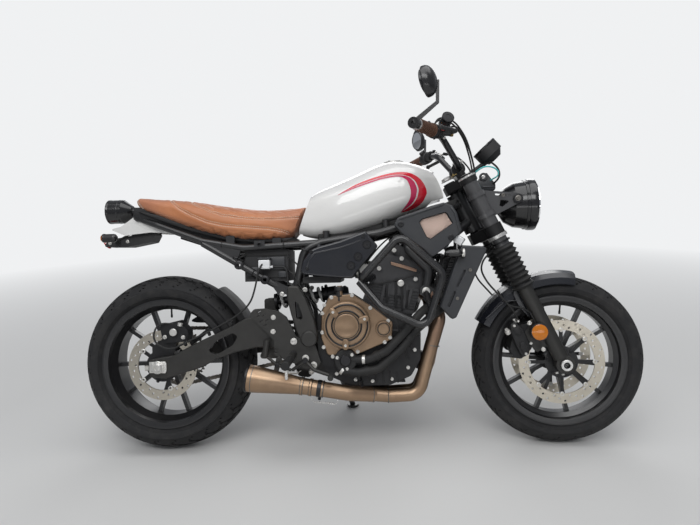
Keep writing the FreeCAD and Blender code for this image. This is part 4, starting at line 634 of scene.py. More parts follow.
def ring_of_spots(hub, radius, angles):
    """The (x, z) spots round a hub at angles in degrees."""
    return [(hub[0] + radius * cos(radians(a)), hub[2] + radius * sin(radians(a))) for a in angles]


def skin_tree(mesh, place=Matrix.Identity(4)):
    """The skin of a mesh, to lay lines and pieces on."""
    return BVHTree.FromPolygons([place @ v.co for v in mesh.vertices], [tuple(p.vertices) for p in mesh.polygons])


def nearest_of(points):
    """A tree that finds the nearest of some points."""
    tree = KDTree(len(points))
    for i, point in enumerate(points):
        tree.insert(point, i)
    tree.balance()
    return tree


def coil(foot, step, one, two, radius, in_a_turn, count):
    """Points along a coil spring: one and two are the axes across it, step leads from point to point."""
    points = []
    for i in range(count):
        turn = 2 * pi * i / in_a_turn
        across = Vector(one) * cos(turn) + Vector(two) * sin(turn)
        points.append(Vector(foot) + Vector(step) * i + across * radius)
    return points


def through(before, start, end, after, t):
    """A smooth run from start to end, numbers or vectors, led by their neighbours."""
    return 0.5 * (2 * start + (end - before) * t + (2 * before - 5 * start + 4 * end - after) * t * t
                  + (3 * start - before - 3 * end + after) * t ** 3)


# ---- seat ----

# The saddle's ribs: bottom x and z, top x and z, half width, and how square the lower and upper halves are.
SADDLE_RIBS = [
    (-100, 880, -112, 914, 44, 3.2, 2.8),
    (-70, 866, -90, 920, 74, 3.4, 3.0),
    (-10, 842, -30, 914, 98, 3.4, 2.9),
    (100, 800, 90, 903, 116, 3.6, 2.7),
    (230, 762, 226, 880, 126, 3.6, 2.5),
    (350, 748, 350, 864, 120, 3.6, 2.4),
    (440, 750, 450, 865, 104, 3.6, 2.4),
    (474, 766, 521, 872, 88, 3.4, 2.4),
]
SEAM_AT_TAIL = [(-101, 905), (-86, 889), (-71, 873), (-53, 850), (-35, 829)]
SEAM_ALONG_SIDE = [(46, 893), (76, 868), (119, 843), (173, 819), (227, 805), (282, 799), (336, 794),
                   (390, 789), (434, 781), (462, 769)]
SEAM_OF_QUILT = [(116, 889), (141, 876), (184, 856), (227, 841), (282, 831), (336, 825), (390, 823),
                 (444, 825), (504, 828)]
QUILT_LONG, QUILT_WIDE, QUILT_RISE = 31.0, 27.0, 3.0
SEAM_WIDTH, SEAM_ROLL = 3.4, 1.2
SKIN_SUNK = 1.2
STITCH_PITCH, STITCH_ASIDE = 7.2, 3.4


def between_ribs(share):
    """A rib's numbers at a share of the saddle's length, smooth from rib to rib."""
    place = share * (len(SADDLE_RIBS) - 1)
    i = min(int(place), len(SADDLE_RIBS) - 2)
    t = place - i
    around = [SADDLE_RIBS[max(0, min(len(SADDLE_RIBS) - 1, i + k))] for k in (-1, 0, 1, 2)]
    return [through(*values, t) for values in zip(*around)]


def on_saddle(share, turn, shrink):
    """A point of the saddle's skin: the turn runs from the right over the top to the left and back below."""
    bottom_x, bottom_z, top_x, top_z, half, lower, upper = between_ribs(share)
    power = upper if sin(turn) >= 0 else lower
    side = copysign(abs(cos(turn)) ** (2 / power), -cos(turn)) * shrink
    rise = copysign(abs(sin(turn)) ** (2 / power), sin(turn)) * shrink
    return Vector(((top_x + bottom_x) / 2 + (top_x - bottom_x) / 2 * rise, half * side,
                   (top_z + bottom_z) / 2 + (top_z - bottom_z) / 2 * rise))


def side_line(tree, line, start_y):
    """Lays a line, drawn in side view, onto the skin of a piece from one side."""
    laid = []
    for (x0, z0), (x1, z1) in zip(line, line[1:]):
        count = max(2, int(hypot(x1 - x0, z1 - z0) / 2.0))
        for i in range(count):
            t = i / count
            hit = tree.ray_cast(at(x0 + (x1 - x0) * t, start_y, z0 + (z1 - z0) * t),
                                Vector((0, copysign(1, -start_y), 0)))
            if hit[0]:
                laid.append(hit[0])
    return laid


def over_the_top(tree, right_end, bow):
    """Carries a seam over the top from its right upper end to the left one."""
    laid = []
    half = abs(right_end.y)
    for i in range(1, int(half * 2 / 0.002)):
        y = -half + 0.002 * i
        x = right_end.x + bow * MM * (1 - (y / half) ** 2)
        hit = tree.ray_cast(Vector((x, y, 1.2)), Vector(DOWN))
        if hit[0]:
            laid.append(hit[0])
    return laid


def saddle():
    """The padded seat: a crowned skin drawn in at its seams and quilted in diamonds on top."""
    rings, steps = 300, 176
    deselect()
    bpy.ops.mesh.primitive_grid_add(x_subdivisions=rings, y_subdivisions=steps, size=1)
    skin = bpy.context.object
    ends = 0.035
    for vertex in skin.data.vertices:
        share = vertex.co.x + 0.5
        turn = (vertex.co.y + 0.5) * 2 * pi + pi * 1.5
        short = min(share, 1 - share)
        shrink = sqrt(max(0.0, 1 - (1 - short / ends) ** 2)) if short < ends else 1.0
        vertex.co = on_saddle(share, turn, 0.01 + 0.99 * shrink) * MM
    edit_all()
    bpy.ops.mesh.remove_doubles(threshold=0.00005)
    bpy.ops.mesh.select_all(action="DESELECT")
    bpy.ops.mesh.select_non_manifold()
    bpy.ops.mesh.edge_face_add()
    close_up()
    tree = skin_tree(skin.data)
    seams = {}
    lines = (("tail", SEAM_AT_TAIL, -6), ("side", SEAM_ALONG_SIDE, -34), ("quilt", SEAM_OF_QUILT, -26))
    for name, line, bow in lines:
        right = side_line(tree, line, -300)
        left = [Vector((p.x, -p.y, p.z)) for p in right]
        seams[name] = left[::-1] + over_the_top(tree, right[0], bow)[::-1] + right
    nearest = {name: nearest_of(seam) for name, seam in seams.items()}
    skin.data.update()
    normals = [vertex.normal.copy() for vertex in skin.data.vertices]
    moved = []
    for vertex, normal in zip(skin.data.vertices, normals):
        x, y, z = vertex.co / MM
        push = 0.0
        for name, depth in (("tail", 2.6), ("side", 2.4)):
            off = nearest[name].find(vertex.co)[2] / MM
            push -= depth * exp(-(off / SEAM_WIDTH) ** 2)
            push += SEAM_ROLL * exp(-((off - 11) / 7.0) ** 2)
        place, _, off = nearest["quilt"].find(vertex.co)
        off = off / MM
        push -= 2.6 * exp(-(off / 3.2) ** 2)
        if in_quilt(x, y, z, place):
            girth = abs(y) + max(0.0, 868 - z) * 0.75
            first = (x + 14) / QUILT_LONG + girth / QUILT_WIDE
            second = (x + 14) / QUILT_LONG - girth / QUILT_WIDE
            gap = min(abs(first % 2 - 1), abs(second % 2 - 1)) * 20.0
            fade = min(1.0, off / 9.0)
            push += (QUILT_RISE * (1 - exp(-(gap / 5.2) ** 2)) - 1.6) * fade
        if z < between_ribs(0.5)[1] - 40:
            push = min(push, 0.0)
        wrinkle = sin(x * 0.11 + z * 0.05) * sin(z * 0.13 - x * 0.03) * 0.35
        moved.append(vertex.co + normal * (push + wrinkle - SKIN_SUNK) * MM)
    for vertex, place in zip(skin.data.vertices, moved):
        vertex.co = place
    return skin, seams


def in_quilt(x, y, z, edge):
    """Whether a point of the skin lies on the quilted side of the quilt's seam."""
    if x < 92 - 26 * (1 - min(1.0, abs(y) / 95) ** 2):
        return False
    return z > edge.z / MM or abs(y) < abs(edge.y / MM) - 2


def stitches(skin, seam, aside):
    """A row of thread stitches along a seam, a little to one side of it."""
    tree = skin_tree(skin.data)
    deselect()
    bpy.ops.mesh.primitive_uv_sphere_add(segments=6, ring_count=4, radius=1)
    thread = bpy.context.object
    thread.data.transform(Matrix.Diagonal((0.0034, 0.00125, 0.0011, 1)))
    places = []
    travelled = 0.0
    for before, here, after in zip(seam, seam[2:], seam[4:]):
        travelled += (here - before).length / 2
        if travelled < STITCH_PITCH * MM:
            continue
        travelled = 0.0
        normal = tree.find_nearest(here)[1]
        along = (after - before).normalized()
        outward = along.cross(normal).normalized()
        spot, normal = tree.find_nearest(here + outward * aside * MM)[:2]
        up = normal.normalized()
        side = up.cross(along).normalized()
        frame_of_stitch = Matrix((along, side, up)).transposed().to_4x4()
        places.append(Matrix.Translation(spot + up * 0.0003) @ frame_of_stitch)
    return copies(thread, places)


def make_seat():
    skin, seams = saddle()
    rows = []
    for name in ("tail", "side", "quilt"):
        for aside in (-STITCH_ASIDE, STITCH_ASIDE):
            rows.append(stitches(skin, seams[name], aside))
    set_down(skin, "seat_cover", "tan_leather", smooth=60)
    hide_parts("seat")
    set_down(joined(rows), "seat_stitching", "thread", smooth=60)
    base = slab([(-92, 868), (-12, 834), (100, 792), (230, 755), (350, 742), (440, 743), (476, 758),
                 (440, 756), (350, 755), (230, 768), (100, 806), (-12, 850)], -84, 84, 2)
    set_down(base, "seat_base_pan", "plastic_black")


# ---- tank ----

STRIPE_OUTER = [(635, 900), (693, 931), (750, 951), (807, 965), (844, 970), (881, 968), (910, 956), (929, 940),
                (941, 921), (946, 902), (940, 886), (930, 869), (908, 851), (878, 839), (852, 833)]
STRIPE_INNER = [(635, 899), (700, 921), (750, 936), (791, 947), (832, 953), (855, 952), (873, 942), (880, 930),
                (885, 915), (887, 900), (886, 887), (880, 870), (867, 852), (858, 841), (852, 833)]
PAINT_PROUD = 0.0005


def evenly(line, count):
    """Points spread evenly along a smooth run through a line's points."""
    dense = []
    last = len(line) - 1
    for i in range(last):
        around = [Vector(line[max(0, min(last, i + k))]) for k in (-1, 0, 1, 2)]
        dense += [through(*around, step / 12) for step in range(12)]
    dense.append(Vector(line[-1]))
    lengths = [0.0]
    for before, after in zip(dense, dense[1:]):
        lengths.append(lengths[-1] + (after - before).length)
    spread = []
    j = 0
    for i in range(count):
        want = lengths[-1] * i / (count - 1)
        while j < len(lengths) - 2 and lengths[j + 1] < want:
            j += 1
        t = (want - lengths[j]) / max(1e-9, lengths[j + 1] - lengths[j])
        spread.append(dense[j].lerp(dense[j + 1], t))
    return spread


def stripe_band(tree, low, high, name, finish):
    """A painted band on both sides of the tank, laid on its skin between two shares of the stripe's width."""
    long, wide = 110, 5
    outer, inner = evenly(STRIPE_OUTER, long + 1), evenly(STRIPE_INNER, long + 1)
    bands = []
    for side in (-1, 1):
        deselect()
        bpy.ops.mesh.primitive_grid_add(x_subdivisions=long, y_subdivisions=wide, size=1)
        band = bpy.context.object
        for vertex in band.data.vertices:
            i = round((vertex.co.x + 0.5) * long)
            share = low + (high - low) * (vertex.co.y + 0.5)
            x, z = inner[i].lerp(outer[i], share)
            hit = tree.ray_cast(at(x, side * 300, z), Vector((0, -side, 0)))
            vertex.co = hit[0] + hit[1] * PAINT_PROUD
        pick(band)
        edit_all()
        close_up()
        if side * sum(face.normal.y * face.area for face in band.data.polygons) < 0:
            band.data.flip_normals()
        bands.append(band)
    set_down(joined(bands), name, finish, smooth=60)


def dress_tank():
    tree = skin_tree(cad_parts["tank"].data, UPRIGHT)
    stripe_band(tree, 0.0, 0.40, "stripe_lower_band", "stripe_rose")
    stripe_band(tree, 0.50, 1.0, "stripe_upper_band", "stripe_red")
    top = tree.ray_cast(at(838, 0, 1200), Vector(DOWN))
    spot, normal = top[0] / MM, top[1]
    ring = lathe([(37, -2), (37, 2.0), (35.5, 3.2), (29, 3.2), (28, 2.2), (27.4, 2.2), (26.6, 3.6), (10, 4.4),
                  (2, 4.6)],
                 spot, normal, 64)
    set_down(ring, "filler_cap", "screw_zinc")
    around = [spot + Vector((x, y, 3.0)) for x, y in ring_of_spots((0, 0, 0), 32.3, range(20, 380, 72))]
    bolts = screws(socket_screw, 2.3, 2.0, around, normal)
    set_down(bolts, "filler_cap_screws", "screw_black")
    latch = slab([(-9, -3), (9, -3), (10, 0), (9, 3), (-9, 3), (-10, 0)], -1, 1, 0.6)
    latch.data.transform(facing(spot + Vector((0, 0, 5)), normal) @ Matrix.Rotation(radians(90), 4, "X"))
    set_down(latch, "filler_cap_latch", "screw_black")
    tab = slab([(646, 741), (650, 752), (704, 757), (702, 746)], -62, -92, 1.2)
    set_down(both_sides(tab), "tank_rear_tabs", "pearl_white")


# ---- wheels, brakes and drive ----

# The tread: a groove's slant in pitches, and its inset and depth in metres.
TREAD_SLANT, GROOVE_INSET, GROOVE_DEPTH = 1.3, 0.0009, 0.0042
CHAIN_PITCH, REAR_TEETH, FRONT_TEETH = 15.875, 43, 16


def tyre_profile(radius, width, crown, rim_half):
    """Half of the tyre's outer line as (radius, height along the axle), from the bead to the crown."""
    half = width / 2
    bead = rim_half - 6
    shoulder = radius - crown
    widest = 230 + 0.42 * (radius - 230)
    wall = [(217, bead), (231, bead + 0.4), (233.5, bead + 1.6), (237, bead + 0.30 * (half - bead)),
            (242, bead + 0.70 * (half - bead)), (243.2, bead + 0.78 * (half - bead)),
            (244.4, bead + 0.74 * (half - bead)), (250, bead + 0.92 * (half - bead)), (widest, half)]
    reach = min(atan2(half, widest - shoulder), 1.25)
    crown_line = []
    for i in range(1, 15):
        angle = reach * (1 - i / 14)
        crown_line.append((shoulder + crown * cos(angle), crown * sin(angle)))
    return [(r, y) for r, y in wall + crown_line if r < widest or y <= half]


def tyre(name, node, body, hub, radius, width, crown, rim_half, pitches):
    """A road tyre with grooves cut into its tread in a slanting pattern."""
    side = tyre_profile(radius, width, crown, rim_half)
    outer = side + [(r, -y) for r, y in reversed(side[:-1])]
    liner = [(radius - 11, 0), (radius - 16, crown * 0.55), (236, rim_half - 15), (217, rim_half - 16)]
    inner = [(r, -y) for r, y in liner[::-1]] + liner[1:]
    profile = outer + inner
    columns = 7
    steps = pitches * columns
    step = 2 * pi / steps

    def slant(share):
        return TREAD_SLANT * step * columns * share ** 1.4

    skew = [slant(abs(y) / (width / 2)) for _, y in outer] + [0.0] * len(inner)
    piece = hoop(profile, steps=steps, skew=skew)
    mesh = piece.data
    grooves = []
    for face in mesh.polygons:
        middle = face.center
        if middle.xy.length / MM < radius - crown * 0.62:
            continue
        share = abs(middle.z / MM) / (width / 2)
        turn = atan2(middle.y, middle.x) - slant(share)
        column = int(turn % (2 * pi) / step + 0.5) % columns
        if middle.z < 0:
            column = (column + 3) % columns
        if (column == 0 and 0.10 < share < 0.62) or (column == 3 and 0.34 < share < 0.82):
            grooves.append(face.index)
    pick(piece)
    edit_all()
    bpy.ops.mesh.select_all(action="DESELECT")
    bpy.ops.object.mode_set(mode="OBJECT")
    for index in grooves:
        face = mesh.polygons[index]
        if face.normal.dot(Vector((face.center.x, face.center.y, 0))) > 0:
            face.select = True
    bpy.ops.object.mode_set(mode="EDIT")
    bpy.ops.mesh.select_mode(type="FACE")
    bpy.ops.mesh.inset(thickness=GROOVE_INSET, depth=0)
    bpy.ops.mesh.extrude_region_shrink_fatten(TRANSFORM_OT_shrink_fatten={"value": -GROOVE_DEPTH})
    bpy.ops.mesh.select_mode(type="VERT")
    bpy.ops.object.mode_set(mode="OBJECT")
    mesh.transform(facing(hub, OUT_RIGHT))
    set_down(piece, name, "tyre_black", body, 38)
    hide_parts(node)


def make_tyres():
    tyre("front_road_tyre", "front_tyre", "front_wheel", FRONT_HUB, 299.4, 120, 62, 52, 30)
    tyre("rear_road_tyre", "rear_tyre", "rear_wheel", REAR_HUB, 314.4, 180, 92, 79, 28)


def dress_wheels():
    for body, hub, half, phase in (("front_wheel", FRONT_HUB, 52, 48), ("rear_wheel", REAR_HUB, 79, 55)):
        stem = lathe([(4.6, 0), (4.6, 5), (3.2, 7), (3.2, 26), (3.9, 26.5), (3.9, 36), (3.2, 37.5)], steps=16)
        turn = radians(phase + 36)
        out = Vector((cos(turn), 0, sin(turn)))
        stem.data.transform(facing(Vector(hub) + out * 197, -out))
        set_down(stem, body + "_valve", "screw_black", body)
        bead = hoop([(229.4, 0), (230.9, 0), (230.9, 1.2), (229.8, 1.4), (225, 1.2), (220, 0.2)], steps=96)
        bead.data.transform(facing(hub, OUT_RIGHT) @ Matrix.Translation((0, 0, (half - 0.6) * MM)))
        set_down(both_sides(bead), body + "_rim_edges", "wheel_black", body)
    dress_front_hub()
    dress_rear_hub()


def bobbins(hub, y, radius, count, first, size):
    """A ring of hollow drive buttons that hold a disc on its carrier."""
    button = lathe([(size, -4.2), (size, 4.2), (size * 0.85, 4.9), (size * 0.5, 4.9), (size * 0.45, 2.5)],
                   (hub[0] + radius, y, hub[2]), outwards(y), 18)
    return copies(button, round_hub(hub, count, first))


def dress_front_hub():
    row = bobbins(FRONT_HUB, -72, 112, 8, 0, 7.8)
    set_down(both_sides(row), "front_disc_buttons", "screw_zinc", "front_wheel")
    bolt = hex_bolt(5.0, 5.0, (1454, -75, FRONT_HUB[2]), OUT_RIGHT)
    set_down(both_sides(copies(bolt, round_hub(FRONT_HUB, 6, 12))), "front_carrier_bolts",
             "screw_black", "front_wheel")
    cone = lathe([(34, 52), (34, 56), (29, 61), (24, 62), (24, 70), (18, 71)], FRONT_HUB, OUT_RIGHT, 40)
    set_down(both_sides(cone), "front_hub_collars", "wheel_black", "front_wheel")
    nut = lathe([(19, 133), (19, 138.5), (17.6, 140), (11.5, 140), (10.5, 139), (10.5, 128)],
                FRONT_HUB, OUT_RIGHT, 40)
    on_bars(nut, "front_axle_nut", "steel_bright")
    hollow = lathe([(11.4, 131), (11.4, 139.2), (8, 139.4), (7, 133)], FRONT_HUB, OUT_RIGHT, 36)
    on_bars(hollow, "front_axle_hollow", "screw_black")
    end = lathe([(17, 133), (17, 137), (15.5, 138.5), (8, 138.5), (7.5, 134)], FRONT_HUB, OUT_LEFT, 6)
    on_bars(end, "front_axle_head", "screw_zinc")
    ring = lathe([(44, 56), (44, 58), (30, 58.4)], FRONT_HUB, OUT_LEFT, 50)
    teeth = slab([(1445, 299.4), (1449, 299.4), (1449, 302.6), (1445, 302.6)], 58.5, 60)
    set_down(joined([ring, copies(teeth, round_hub(FRONT_HUB, 40))]), "front_speed_ring",
             "steel_dark", "front_wheel")


def dress_rear_hub():
    row = bobbins(REAR_HUB, -99, 86, 5, 0, 8.4)
    set_down(row, "rear_disc_buttons", "screw_zinc", "rear_wheel")
    bolt = hex_bolt(5.0, 5.0, (58, -102, REAR_HUB[2]), OUT_RIGHT)
    set_down(copies(bolt, round_hub(REAR_HUB, 5, 36)), "rear_carrier_bolts", "screw_black", "rear_wheel")
    cone = lathe([(44, 66), (44, 74), (36, 80), (30, 82), (30, 96), (22, 97)], REAR_HUB, OUT_RIGHT, 40)
    set_down(cone, "rear_hub_collar", "wheel_black", "rear_wheel")
    bolt = hex_bolt(6.4, 7.0, (78, 110.6, REAR_HUB[2]), OUT_LEFT)
    set_down(copies(bolt, round_hub(REAR_HUB, 5)), "sprocket_nuts", "screw_zinc", "rear_wheel")
    nut = lathe([(23, 146), (23, 147.5), (20, 148), (20, 160), (18, 162), (9, 162), (8, 158)],
                REAR_HUB, OUT_RIGHT, 6)
    slots = [brick((4.4, 16, 5), (15 * cos(a), -161.4, REAR_HUB[2] + 15 * sin(a)),
                   OUT_RIGHT) for a in (0.3, 1.35, 2.4)]
    set_down(joined([nut] + slots), "rear_axle_nut", "steel_bright")
    head = lathe([(19, 149), (19, 154), (17.6, 155.5), (9, 155.5), (8.5, 152)], REAR_HUB, OUT_LEFT, 6)
    set_down(head, "rear_axle_head", "screw_zinc")
    for side, word in ((-1, "right"), (1, "left")):
        y = side * 142
        block = slab([(-30, 298), (26, 296), (30, 304), (30, 330), (26, 337), (-30, 336)], y + side * 0.4,
                     y + side * 5, 1.4)
        screw = hex_bolt(6.5, 14.0, (-34, y - side * 9, 314), BACK)
        marks = [brick((0.9, 7, 0.6), (x, y + side * 5.1, 331), (0, side, 0), 0.15) for x in range(-20, 22, 6)]
        set_down(joined([block, screw]), "chain_adjuster_" + word, "screw_zinc")
        set_down(joined(marks), "adjuster_marks_" + word, "dial_mark")


def chain_line():
    """The chain's pitch line: (x, z) of every pin, evenly round both sprockets."""
    rear_radius = CHAIN_PITCH / (2 * sin(pi / REAR_TEETH))
    front_radius = CHAIN_PITCH / (2 * sin(pi / FRONT_TEETH))
    rear, front = Vector(REAR_HUB).xz, Vector(SMALL_SPROCKET_HUB).xz
    run = front - rear
    slope = atan2(run.y, run.x)
    lap = asin((rear_radius - front_radius) / run.length)
    straight = sqrt(run.length ** 2 - (rear_radius - front_radius) ** 2)
    front_arc = front_radius * (pi - 2 * lap)
    rear_arc = rear_radius * (pi + 2 * lap)
    total = 2 * straight + front_arc + rear_arc
    count = 2 * round(total / CHAIN_PITCH / 2)
    top = slope + pi / 2 - lap
    bottom = slope - pi / 2 + lap

    def on_circle(hub, radius, turn):
        return hub + radius * Vector((cos(turn), sin(turn)))

    def place(s):
        if s < straight:
            return on_circle(on_circle(rear, rear_radius, top), s, top - pi / 2)
        s -= straight
        if s < front_arc:
            return on_circle(front, front_radius, top - s / front_radius)
        s -= front_arc
        if s < straight:
            return on_circle(on_circle(front, front_radius, bottom), s, bottom - pi / 2)
        return on_circle(rear, rear_radius, bottom - (s - straight) / rear_radius)

    return [place(total * i / count) for i in range(count)]


def make_chain():
    """Outer and inner links in turn, with rollers between their plates, and the small sprocket."""
    pins = chain_line()
    links = []
    for kind in (0, 1):
        waist = 5.2 if kind else 5.6
        plate = [(-7.4, -3.4), (-3.2, -6.6), (2.6, -6.4), (7.9, -waist), (13.2, -6.4), (19.0, -6.6), (23.2, -3.4),
                 (23.2, 3.4), (19.0, 6.6), (13.2, 6.4), (7.9, waist), (2.6, 6.4), (-3.2, 6.6), (-7.4, 3.4)]
        gap = 6.2 if kind else 8.4
        sides = [slab(plate, 107 + side * gap, 107 + side * (gap + 1.9)) for side in (-1, 1)]
        if kind:
            sides += [lathe([(4.9, 0), (4.9, 12.4)], (x, 100.8, 0), OUT_LEFT, 8) for x in (0, 15.8)]
        else:
            sides += [lathe([(2.6, 0), (2.6, 23.0)], (x, 95.5, 0), OUT_LEFT, 6) for x in (0, 15.8)]
        link = joined(sides)
        places = []
        for i in range(kind, len(pins), 2):
            here, ahead = pins[i], pins[(i + 1) % len(pins)]
            run = ahead - here
            turn = Matrix.Rotation(-atan2(run.y, run.x), 4, "Y")
            places.append(Matrix.Translation(at(here.x, 0, here.y)) @ turn)
        links.append(copies(link, places))
    outline = []
    for i in range(FRONT_TEETH):
        for part, radius in ((-0.34, 33.5), (-0.12, 43.0), (0.12, 43.0), (0.34, 33.5)):
            outline += ring_of_spots(SMALL_SPROCKET_HUB, radius, [360 / FRONT_TEETH * (i + part)])
    sprocket = slab(outline, 103.8, 110.2)
    nut = lathe([(19, 3.2), (19, 10), (17, 12), (10, 12)], (612, 107, 372), OUT_LEFT, 6)
    whole = joined(links + [sprocket, nut])
    set_down(whole, "roller_chain", "chain_steel", smooth=30)
    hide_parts("chain")


# ---- engine ----

def dress_clutch_cover():
    rim = [(607, 545), (677, 551), (738, 507), (797, 462), (803, 405), (784, 390), (692, 360), (607, 345),
           (577, 377), (573, 427), (575, 492), (582, 520)]
    set_down(screw_row(socket_screw, 5.0, 6.5, -158, rim), "clutch_cover_screws", "screw_zinc")
    lugs = ring_of_spots(CLUTCH_HUB, 64, CLAW_ANGLES)
    set_down(screw_row(socket_screw, 4.6, 5.5, -205, lugs), "clutch_lug_screws", "screw_zinc")
    gasket = slab([(588, 346), (566, 411), (570, 499), (599, 552), (680, 558), (749, 513), (816, 457), (811, 396),
                   (693, 348)], -141.5, -139, 0.6)
    set_down(gasket, "clutch_cover_gasket", "screw_black")
    # The cover's grooves are drawn as black rings on its face: painted shade where the grooves lie dark.
    rings = [hoop([(72, 186), (72, 188.8), (69.5, 189.6), (67, 188.8), (67, 186)], CLUTCH_HUB, OUT_RIGHT, 72),
             hoop([(52, 194), (52, 197.2), (49.5, 198), (47, 197.2), (47, 194)], CLUTCH_HUB, OUT_RIGHT, 72)]
    set_down(joined(rings), "clutch_groove_painted_shade", "screw_black")
    claw = slab([(43, -6), (50, -11), (72, -10), (79, -5), (79, 5), (72, 10), (50, 11), (43, 6)], -206, -184, 2.2)
    turns = [Matrix.Translation(at(*CLUTCH_HUB)) @ Matrix.Rotation(-radians(a), 4, "Y") for a in CLAW_ANGLES]
    set_down(copies(claw, turns), "clutch_cover_claws", "bronze_cover")
    cap = lathe([(40, 203), (40, 205.5), (38, 206.5), (34, 206.5), (31, 205), (6, 204.6)],
                CLUTCH_HUB, OUT_RIGHT, 48)
    plug = lathe([(18.5, 172), (18.5, 176), (17, 177.5), (6, 178)], CLUTCH_PLUG, OUT_RIGHT, 40)
    set_down(joined([cap, plug]), "clutch_cover_caps", "bronze_cover")
    gap = hoop([(19.2, 171), (21.6, 171), (21.6, 173.4), (19.2, 173.4)], CLUTCH_PLUG, OUT_RIGHT, 40)
    foot = hoop([(40.2, 203), (42.4, 203), (42.4, 204.9), (40.2, 204.9)], CLUTCH_HUB, OUT_RIGHT, 56)
    set_down(joined([gap, foot]), "clutch_cap_gaps", "screw_black")
    plug = lathe([(11, 0), (11, 14), (13.5, 16), (13.5, 20), (11.5, 21), (11.5, 34), (16, 36), (16, 46), (13, 49),
                  (5, 50)], (634, -148, 532), (-0.02, 0, 1), 28)
    set_down(plug, "oil_filler_cap", "plastic_black")


def dress_crankcase():
    low = [(618, 283), (682, 262), (740, 256), (806, 262), (862, 300), (886, 360), (888, 420)]
    set_down(screw_row(socket_screw, 4.6, 6.0, -140, low), "crankcase_screws_right", "screw_zinc")
    left = [(716, 470), (716, 300), (744, 268), (800, 256), (856, 288), (884, 340), (884, 412),
            (860, 464), (794, 484)]
    set_down(screw_row(socket_screw, 4.6, 6.0, 140, left), "crankcase_screws_left", "screw_zinc")
    around = ring_of_spots(ALTERNATOR_HUB, 71, range(10, 370, 45))
    set_down(screw_row(socket_screw, 4.4, 6.0, 176, around), "alternator_screws", "screw_zinc")
    lid = [(566, 418), (562, 336), (596, 322), (664, 330), (672, 396), (644, 424)]
    set_down(screw_row(socket_screw, 4.0, 5.0, 140, lid), "sprocket_lid_screws", "screw_zinc")
    seam = slab([(552, 428), (560, 434), (700, 446), (880, 424), (908, 416), (908, 409), (880, 416), (700, 438),
                 (560, 426)], -142, 142, 1.5)
    set_down(seam, "crankcase_joint", "engine_grey")
    ribs = []
    for i in range(6):
        x, z = 700 + i * 24, 300 - i * 3
        ribs.append(slab([(x, z), (x + 5, z), (x + 9, 250), (x + 4, 250)], -143.5, -139, 1.0))
    ribs.append(slab([(818, 470), (826, 470), (868, 330), (860, 330)], -144, -139, 1.4))
    ribs.append(slab([(846, 440), (852, 440), (884, 350), (878, 350)], -144, -139, 1.4))
    set_down(joined(ribs), "crankcase_ribs", "engine_black")
    plug = lathe([(16, 0), (16, 2), (11, 2.4), (11, 8), (10, 9), (5.5, 9), (5, 6)], (720, 20, 196), DOWN, 6)
    set_down(plug, "drain_plug", "screw_zinc")
    can = lathe([(33, 0), (34, 6), (34, 62), (31, 68), (26, 70), (4, 70)], (880, -20, 318), (0.94, 0, -0.34), 14)
    set_down(can, "oil_filter", "screw_black", smooth=20)
    pump = ring_of_spots(PUMP_HUB, 29, (40, 160, 280))
    set_down(screw_row(hex_bolt, 4.6, 5.0, -184, pump), "pump_bolts", "screw_zinc")
    nose = lathe([(19, 184), (19, 188), (16, 190.5), (5, 191)], PUMP_HUB, OUT_RIGHT, 30)
    set_down(nose, "pump_nose", "screw_black")


